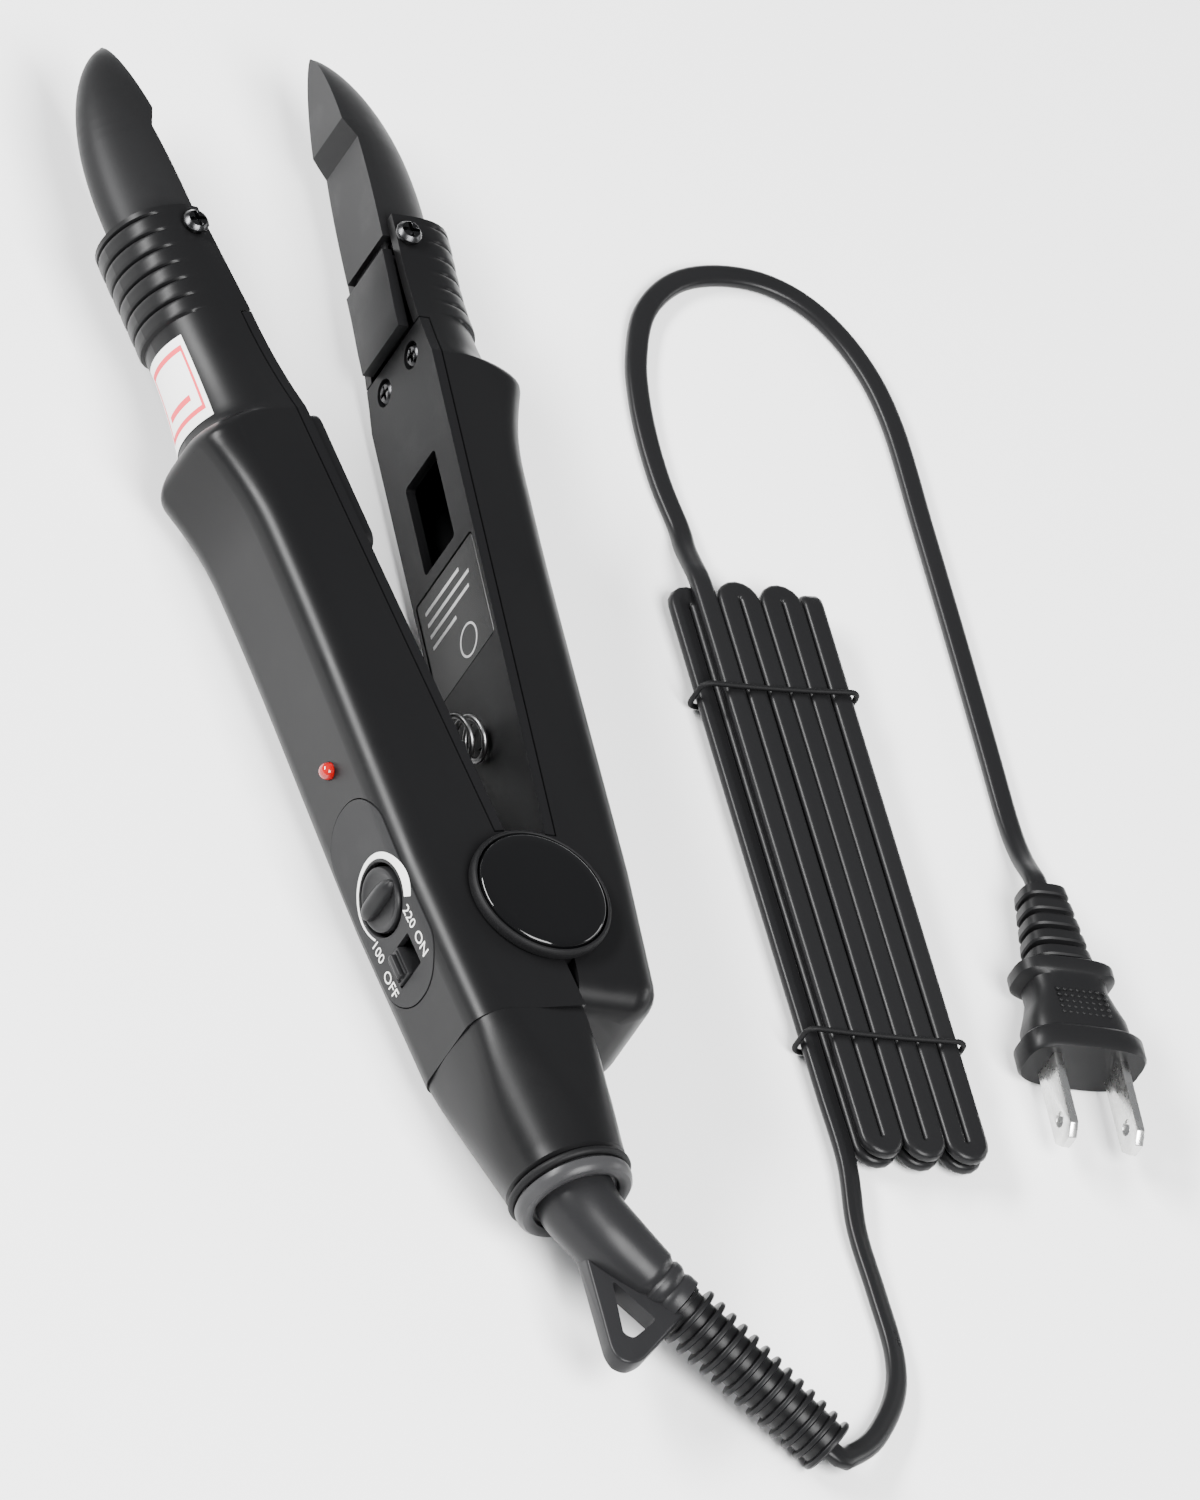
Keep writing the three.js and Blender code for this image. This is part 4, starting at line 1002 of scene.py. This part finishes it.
def make_pivot():
    for up, name in ((1, "top"), (-1, "bottom")):
        rise = [(27.3, 11.55), (27.5, 11.7), (29.0, 11.7), (29.35, 11.6), (29.6, 11.35), (29.72, 11.0)]
        dome = [(29.72 + 0.26 * (1 - (r / 11) ** 2), r) for r in (9.6, 8, 6.2, 4.2, 2, 0.6)]
        if up < 0:
            dome = [(29.98, r) for r in (10.6, 6, 1)]
            rise[-1] = (29.9, 11.0)
        cap = placed(spun(rise + dome, 96), X_TO_Z)
        ring = placed(spun([(27.3, 12.05), (27.3, 12.7), (27.5, 12.9), (28.5, 12.9), (28.95, 12.75),
            (29.25, 12.45),
                            (29.3, 12.2), (29.2, 12.05), (28.7, 12.0)], 96), X_TO_Z)
        hole = post(20, 40, 12.0, 96)
        ring = carved(flipped(ring), ("DIFFERENCE", hole))
        if up < 0:
            turned = Matrix.Translation((0, 0, 30)) @ Matrix.Rotation(math.pi, 4, "X")
            placed(cap, turned)
            placed(ring, turned)
        piece(
            f"pivot_dome_{name}", flipped(cap), "gloss", stands_for=(f"pivot_cap_{name}",),
            sharp=50,
        )
        piece(
            f"pivot_washer_{name}", flipped(ring), "rubber",
            stands_for=(f"pivot_ring_{name}",),
        )
    dress("pivot_pin", "steel", 0.2)


def make_rear():
    x = BARREL_END - GAP
    torus = []
    for k in range(97):
        a = 2 * math.pi * k / 96
        torus.append([
            Vector((x - 0.75 + 0.75 * math.cos(b), BARREL_Y + (10.25 + 0.75 * math.sin(b)) * math.cos(a),
                    MID_Z + (10.25 + 0.75 * math.sin(b)) * math.sin(a)))
            for b in (2 * math.pi * j / 14 for j in range(14))
        ])
    piece(
        "rear_seal_ring", grid_through(torus, caps=False), "rubber",
        stands_for=("rear_o_ring",), sharp=60,
    )
    place = Matrix.Translation((0, BARREL_Y, MID_Z))
    profile = [(x + 5.8, 6.2), (x, 6.2), (x, 9.0), (x - 1.75, 9.0), (x - 1.75, 10.0), (x - 2.0, 10.35),
        (x - 2.9, 10.4),
               (x - 3.7, 10.15), (x - 4.2, 9.65), (x - 4.3, 9.0), (x - 4.2, 8.1), (x - 3.9, 7.75),
                   (x - 3.0, 7.6)]
    collar = carved(spun(profile, 96), ("DIFFERENCE", spun([(x - 9, 3.4), (x + 9, 3.4)], 48)))
    piece(
        "rear_lip_collar", flipped(collar), "collar", stands_for=("rear_collar",),
        place=place, sharp=35,
    )

    start, leaves = Vector((x - 2.6, BARREL_Y, MID_Z)), BEND + BOOT * 10
    path = [start]
    for k in range(11):
        t = k / 10
        s = 1 - t
        path.append(s * s * Vector((x - 3.2, BARREL_Y, MID_Z)) + 2 * s * t * BEND + t * t * leaves)
    path.append(BEND + BOOT * 21)
    line = through(path, 0.5)
    run, total = [0.0], 0.0
    for a, b in zip(line, line[1:]):
        total += (b - a).length
        run.append(total)
    rings = []
    for (p, (across, up)), s in zip(zip(line, carried_frames(line, (0, 0, 1))), run):
        t = s / total
        radius = 7.0 - 0.6 * eased(t / 0.3) - 1.2 * eased((t - 0.25) / 0.75)
        from_end = total - s
        for groove in (5.6, 2.7):
            radius -= 0.55 * math.exp(-(((from_end - groove) / 0.55) ** 4))
        turns = [2 * math.pi * k / 40 for k in range(40)]
        rings.append([p + across * radius * math.cos(a) + up * radius * math.sin(a) for a in turns])
    neck = grid_through(rings)
    outer = [
        (-57.5, 10.4), (-81.8, 14.4), (-84.2, 14.0), (-85.4, 11.9), (-84.6, 9.0), (-80, 2.5), (-76, -3.2),
        (-70, -2), (-58, 6),
    ]
    inner = [(-68.4, 8.4), (-79.3, 10.85), (-80.4, 9.3), (-77, 3.2)]
    loop = carved(
        flipped(raised(softened(outer, 1.6), 10.4, 13.8, 0.55)),
        ("DIFFERENCE", flipped(raised(softened(inner, 0.9), 5, 20))),
        ("UNION", neck),
    )
    piece("bent_neck", loop, "neck", stands_for=("swivel_neck",), sharp=32)

    profile, ribs = [(21.3, 2.2), (21.3, 4.5), (21.9, 4.5)], 13
    pitch = (BOOT_END - 21.9) / ribs
    for i in range(ribs):
        t = 21.9 + i * pitch
        core, rim = 4.15, 5.7 - 0.55 * i / ribs
        profile += [(t + 0.1, core), (t + pitch - 1.2, core), (t + pitch - 1.1, core + 0.3),
            (t + pitch - 1.05, rim - 0.15),
                    (t + pitch - 0.85, rim), (t + pitch - 0.3, rim), (t + pitch - 0.1, rim - 0.25),
                        (t + pitch - 0.02, core + 0.3)]
    profile[-1] = (BOOT_END, rim - 0.3)
    profile += [(BOOT_END, 2.2)]
    piece(
        "ribbed_boot", spun(profile, 48), "boot", stands_for=("strain_relief",), sharp=50,
        place=NECK,
    )


def softened(points, radius, steps=4):
    """An outline with its corners rounded."""
    out = []
    count = len(points)
    for i in range(count):
        a, b, c = Vector(points[i - 1]), Vector(points[i]), Vector(points[(i + 1) % count])
        cut = min(radius, (a - b).length * 0.45, (c - b).length * 0.45)
        p, q = b + (a - b).normalized() * cut, b + (c - b).normalized() * cut
        for k in range(steps + 1):
            t = k / steps
            out.append(tuple((1 - t) ** 2 * p + 2 * t * (1 - t) * b + t * t * q))
    return out


TIP_LENGTH, TIP_HALF, TIP_DEPTH, PRESS_LENGTH, PRESS_RECESS = 40.0, 7.3, 15.0, 17.0, 2.0


def make_tip(name, side, place, body):
    """A heated tip: an oval back, a flat pressing pad at the point and a ramp up to it."""
    front = NOSE_FRONT + TIP_LENGTH
    shares = [-0.075, -0.04, 0] + [math.sin(k / 22 * 1.5) / math.sin(1.5) for k in range(1, 23)]
    stations = sorted([NOSE_FRONT + TIP_LENGTH * s for s in shares] + [front - PRESS_LENGTH - 0.1,
        front - PRESS_LENGTH - 4,
                      front - PRESS_LENGTH - 2, front - PRESS_LENGTH - 4.3, front - 0.35, front - 0.12])
    rings = []
    for x in stations:
        t = min(max((x - NOSE_FRONT) / TIP_LENGTH, 0), 1)
        half = max(TIP_HALF * (1 - t ** 2.4) ** 0.66, 0.3)
        depth = half * TIP_DEPTH / TIP_HALF
        behind = min(max((front - PRESS_LENGTH - x) / 4, 0), 1)
        inner = min(0.15 + PRESS_RECESS * behind, depth * 0.6)
        edge = math.acos(min(inner / depth, 0.999))
        ring = []
        for k in range(29):
            angle = edge * (1 - 2 * k / 28)
            round_off = 1 - 0.02 * max(0, abs(1 - 2 * k / 28) - 0.93) / 0.07
            ring.append(Vector((
                x, side * depth * math.cos(angle), MID_Z + half * math.sin(angle) * round_off,
            )))
        for k in (1, 2, 3):
            a, b = ring[28], ring[0]
            ring.append(a + (b - a) * k / 4)
        rings.append(ring)
    bm = grid_through(rings)
    shank = block(
        NOSE_FRONT - 20, NOSE_FRONT - 2, *sorted((side * 3.2, side * 12.2)), MID_Z - 5.5, MID_Z + 5.5,
        0.3,
    )
    tip = carved(bm, ("UNION", shank), ("DIFFERENCE",
        block(100, NOSE_FRONT - 8, *sorted((side * 6.2, side * 9.4)), MID_Z - 3.8, MID_Z + 3.8)),
                 ("DIFFERENCE", flipped(placed(placed(spun([(MID_Z - 1.5, 1.7), (60, 1.7)], 24), X_TO_Z),
                                        Matrix.Translation((NOSE_FRONT - 4.4, side * 5.4, 0))))))
    piece(name + "_heated_tip", tip, "tip", body=body, stands_for=(name + "_tip",),
        weighted=True,
          sharp=24, place=place)


def make_panel():
    face = CONTROL.depth
    panel = carved(
        CONTROL.solid(-40, 60, -0.12),
        ("INTERSECT", panel_prism(0)),
        ("DIFFERENCE", CONTROL.solid(-40, 60, 1.2)),
        ("DIFFERENCE", rod(*KNOB_AT, 0, 60, 6.4, 64)),
        ("DIFFERENCE", plate(racetrack(6.2, 7.6, 0.3, 3), *SWITCH_AT, 0, 60)),
    )
    piece(
        "control_plate", panel, "panel", stands_for=("control_panel",), weighted=True,
        sharp=35,
    )
    # A shallow dish round the knob.
    dish = placed(spun([(face - 1.0, 6.3), (face - 0.9, 6.35), (face + 0.05, 6.35), (face + 0.17, 6.55),
        (face + 0.12, 6.75),
                        (face + 0.02, 6.8), (face - 0.2, 6.75), (face - 1.0, 6.45)], 72), X_TO_Y)
    inside = rod(0, 0, 10, 40, 5.95, 72)
    dish = carved(flipped(dish), ("DIFFERENCE", inside))
    piece(
        "knob_well_ring", flipped(dish), "panel", sharp=40,
        place=Matrix.Translation((KNOB_AT[0], 0, KNOB_AT[1])),
    )

    lamp = placed(
        spun(
            [(face - 4, 1.5), (face - 0.7, 1.5)] + [(
                face - 0.7 + 1.5 * math.sin(a), 1.5 * math.cos(a),
            ) for a in (0.3, 0.6, 0.9, 1.2, 1.45)],
            32,
        ),
        X_TO_Y,
    )
    piece("lamp_dome", flipped(lamp), "lamp", stands_for=("led_lens",), sharp=60,
          place=Matrix.Translation((LAMP_AT[0], 0, LAMP_AT[1])))

    disk = placed(spun([(face - 3.4, 5.3), (face - 3.3, 5.6), (face + 0.1, 5.6), (face + 0.45, 5.45),
        (face + 0.6, 5.1),
                        (face + 0.45, 4.6), (face + 0.3, 4.0)], 72), X_TO_Y)
    grip = []
    for k in range(25):
        t = -1 + k / 12
        reach = 5.35 * t
        wide = 1.55 * math.sqrt(max(1 - abs(t) ** 3.4, 0.02))
        tall = (2.5 if k else 0.4) * (1 - 0.55 * abs(t) ** 3.5)
        ring = []
        for j in range(17):
            a = math.pi * j / 16
            ring.append(Vector((wide * math.cos(a), face + 0.15 + tall * math.sin(a) ** 0.75, reach)))
        ring += [Vector((-wide, face - 1.2, reach)), Vector((wide, face - 1.2, reach))]
        grip.append(ring)
    knob = carved(flipped(disk), ("UNION", grid_through(grip)))
    shaft = flipped(placed(spun([(0, 1.8), (face - 1, 1.8)], 24), X_TO_Y))
    knob = carved(knob, ("DIFFERENCE", shaft))
    piece("knob", knob, "knob", body="temperature_knob", stands_for=("temperature_knob",),
        sharp=40,
          place=Matrix.Translation((KNOB_AT[0], 0, KNOB_AT[1])))

    x, z0 = SWITCH_AT[0], SWITCH_AT[1] - 3.8 + GAP
    slider = [block(x - 2.8, x + 2.8, face - 3.6, face + 0.6, z0, z0 + 3.8, 0.25)]
    slider.append(block(x - 2.3, x + 2.3, face + 0.3, face + 1.6, z0 + 1.25, z0 + 2.55, 0.4, 3))
    for z in (z0 + 0.55, z0 + 3.2):
        slider.append(block(x - 2.3, x + 2.3, face + 0.4, face + 0.95, z - 0.22, z + 0.22, 0.15))
    joined = slider[0]
    for bm in slider[1:]:
        joined = carved(joined, ("UNION", bm))
    piece(
        "slider", joined, "knob", body="switch_slider", stands_for=("switch_slider",),
        sharp=40,
    )
    for node, finish, bevel in (
        ("potentiometer", "grey_part", 0.2), ("switch_body", "grey_part", 0.3),
        ("circuit_board", "board", 0.1),
    ):
        dress(node, finish, bevel)


def printed(name, outline_mesh, lift=0.135, material="print"):
    """Flat marks (made in X and Z) laid on the control plate as a thin film."""
    top = bmesh.ops.extrude_face_region(outline_mesh, geom=list(outline_mesh.faces))["geom"]
    raised_verts = {g for g in top if isinstance(g, bmesh.types.BMVert)}
    for v in outline_mesh.verts:
        v.co.y = CONTROL.surface(v.co.x, v.co.z) + lift + (0.02 if v in raised_verts else -0.03)
    return piece(name, flipped(outline_mesh), material, sharp=40)


def lettering(text, x, z, size):
    """Letters seen from the control side, reading along -X with their tops towards +Z."""
    data = bpy.data.curves.new("letters", "FONT")
    data.body, data.size, data.align_x, data.align_y = text, size, "CENTER", "CENTER"
    data.resolution_u = 4
    obj = bpy.data.objects.new("letters", data)
    bpy.context.scene.collection.objects.link(obj)
    mesh = obj.evaluated_get(bpy.context.evaluated_depsgraph_get()).to_mesh()
    bm = bmesh.new()
    bm.from_mesh(mesh)
    bpy.data.objects.remove(obj)
    bmesh.ops.remove_doubles(bm, verts=bm.verts, dist=1e-4)
    for v in bm.verts:
        v.co = Vector((x - v.co.x, 0, z + v.co.y))
    return bm


def make_print():
    for text, name, x, z, size in (("220", "dial_high_number", 2.1, 20.9, 2.8),
        ("100", "dial_low_number", 3.1, 9.5, 2.8),
                                   ("ON", "switch_on_word", -3.4, 20.9, 3.0),
                                       ("OFF", "switch_off_word", -3.3, 9.0, 3.0)):
        printed(name, lettering(text, x, z, size))
    bm = bmesh.new()
    steps = 60
    begin, finish = math.radians(-125), math.radians(122)
    bmesh.ops.create_grid(bm, x_segments=steps, y_segments=2, size=1)
    for v in bm.verts:
        t = (v.co.x + 1) / 2
        angle = begin + (finish - begin) * t
        wide = 0.35 + 1.35 * t ** 1.4
        radius = 6.95 + wide * (v.co.y + 1) / 2
        v.co = Vector((KNOB_AT[0] + radius * math.cos(angle), 0, KNOB_AT[1] + radius * math.sin(angle)))
    printed("heat_scale_crescent", bm)


def make_sticker():
    """A blank white sticker with a red border round the back of the nose."""
    def laid(name, x0, x1, a0, a1, lift, material):
        rings = []
        for k in range(9):
            x = x0 + (x1 - x0) * k / 8
            r = CONTROL.nose_radius(x)
            ring = []
            for out in (lift, lift - 0.06):
                line = []
                for j in range(15):
                    angle = math.radians(a0 + (a1 - a0) * j / 14)
                    line.append(Vector((
                        x, NOSE_CENTRE + (r + out) * math.cos(angle), MID_Z + (r + out) * math.sin(angle),
                    )))
                ring += line if out == lift else line[::-1]
            rings.append(ring)
        return piece(name, grid_through(rings), material, sharp=40)

    laid("nose_sticker", 106, 123.5, -28, 38, 0.1, "paper")
    laid("sticker_line_1", 108, 121.8, -24, -21.5, 0.13, "red_ink")
    laid("sticker_line_2", 108, 121.8, 31, 33.5, 0.13, "red_ink")
    laid("sticker_line_3", 120.8, 121.8, -24, 33.5, 0.135, "red_ink")
    laid("sticker_line_4", 108, 109, -24, 33.5, 0.135, "red_ink")
    laid("sticker_bar", 111.2, 112.4, -14, 22, 0.13, "red_ink")


def make_label():
    """A black film label with a few plain grey lines."""
    face = -OTHER.inner_face(LABEL_X)
    slope = math.atan((OTHER.gaps[0] - OTHER.gaps[1]) / NOSE_FRONT)
    turn = Matrix.Translation((LABEL_X, face, MID_Z)) @ Matrix.Rotation(slope, 4, "Z")
    film = placed(placed(raised(racetrack(*LABEL_SIZE, 0.6), -0.4, -0.12, 0.05, 1), UPRIGHT), turn)
    piece(
        "rating_film", flipped(film), "label", body="plain_arm",
        stands_for=("rating_label",), place=PLAIN,
    )
    marks = []
    for i, (length, x) in enumerate(((13, 7.4), (16, 5.0), (15, 2.6), (9, 0.2))):
        z = -8.6
        marks.append(block(x - 0.35, x + 0.35, -0.13, -0.085, z, z + length))
    ring = carved(rod(-6.2, 2.6, -0.14, -0.085, 3.1, 48), ("DIFFERENCE", rod(-6.2, 2.6, -1, 1, 2.7, 48)))
    marks.append(ring)
    whole = merged(*marks)
    placed(whole, turn)
    piece("rating_film_marks", whole, "grey_print", body="plain_arm", place=PLAIN)


def make_spring():
    start = Vector((SPRING_X, CONTROL.inner_face(SPRING_X) - 0.8, MID_Z))
    end = PLAIN @ Vector((SPRING_X, -OTHER.inner_face(SPRING_X) + 0.8, MID_Z))
    line, steps = [], SPRING_TURNS * 28
    for k in range(steps + 1):
        t = k / steps
        closed = 0.5 - 0.5 * math.cos(math.pi * t)
        along = 0.35 * closed + 0.65 * t
        angle = 2 * math.pi * SPRING_TURNS * t
        r = SPRING_RADIUS - SPRING_WIRE / 2
        line.append(start.lerp(end, along) + Vector((r * math.cos(angle), 0, r * math.sin(angle))))
    wire = tube_along(
        line, lambda _t: [(0.5 * a, 0.5 * b) for a, b in rounded_oval(1, 1, 2, 10)], (0, 1, 0),
    )
    obj = piece("coil_spring", wire, "spring", stands_for=("return_spring",), sharp=60)
    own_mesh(obj)


def make_small_parts():
    for arm in ("control", "plain"):
        dress(arm + "_heater", "ceramic", 0.2)
        dress(arm + "_heater_lead", "rubber")
        dress(arm + "_heat_bracket", "inner", 0.25)
        dress(arm + "_nose_screw", "screw", 0.12)
        for i in "12":
            dress(f"{arm}_cover_screw_{i}", "screw", 0.12)


make_casings()
make_covers()
make_barrel()
make_pivot()
make_rear()
make_tip("control", 1, None, "control_arm")
make_tip("plain", -1, PLAIN, "plain_arm")
make_panel()
make_print()
make_sticker()
make_label()
make_spring()
make_small_parts()


# ---- Floor and light ----
def make_studio():
    floor_finish = Finish("studio_paper", Roughness=0.9)
    tone = floor_finish.noise(60, 2)
    floor_finish.color(floor_finish.mix(tone, (0.9, 0.9, 0.9), (0.93, 0.93, 0.93)))
    bm = bmesh.new()
    bmesh.ops.create_grid(bm, x_segments=2, y_segments=2, size=4)
    mesh = bpy.data.meshes.new("studio_floor")
    bm.to_mesh(mesh)
    bm.free()
    mesh.materials.append(floor_finish.material)
    floor = bpy.data.objects.new("studio_floor", mesh)
    bpy.context.scene.collection.objects.link(floor)

    world = bpy.data.worlds.new("studio")
    world.use_nodes = True
    world.node_tree.nodes["Background"].inputs[0].default_value = (0.95, 0.97, 1, 1)
    world.node_tree.nodes["Background"].inputs[1].default_value = 0.35
    bpy.context.scene.world = world

    def soft_box(name, direction, distance, size, power):
        light = bpy.data.lights.new(name, "AREA")
        light.shape, light.size, light.size_y, light.energy = "RECTANGLE", size[0], size[1], power
        obj = bpy.data.objects.new(name, light)
        bpy.context.scene.collection.objects.link(obj)
        at = Vector(direction).normalized() * distance
        obj.location = at + Vector((0.03, -0.04, 0))
        obj.rotation_euler = (-at).to_track_quat("-Z", "Y").to_euler()

    soft_box("key", (0.47, 0.70, 0.54), 1.5, (1.1, 0.28), 70)
    soft_box("overhead", (-0.75, 0.1, 1), 1.8, (1.0, 1.0), 105)
    soft_box("side", (-0.2, -0.95, 0.35), 1.6, (0.9, 0.3), 10)


make_studio()
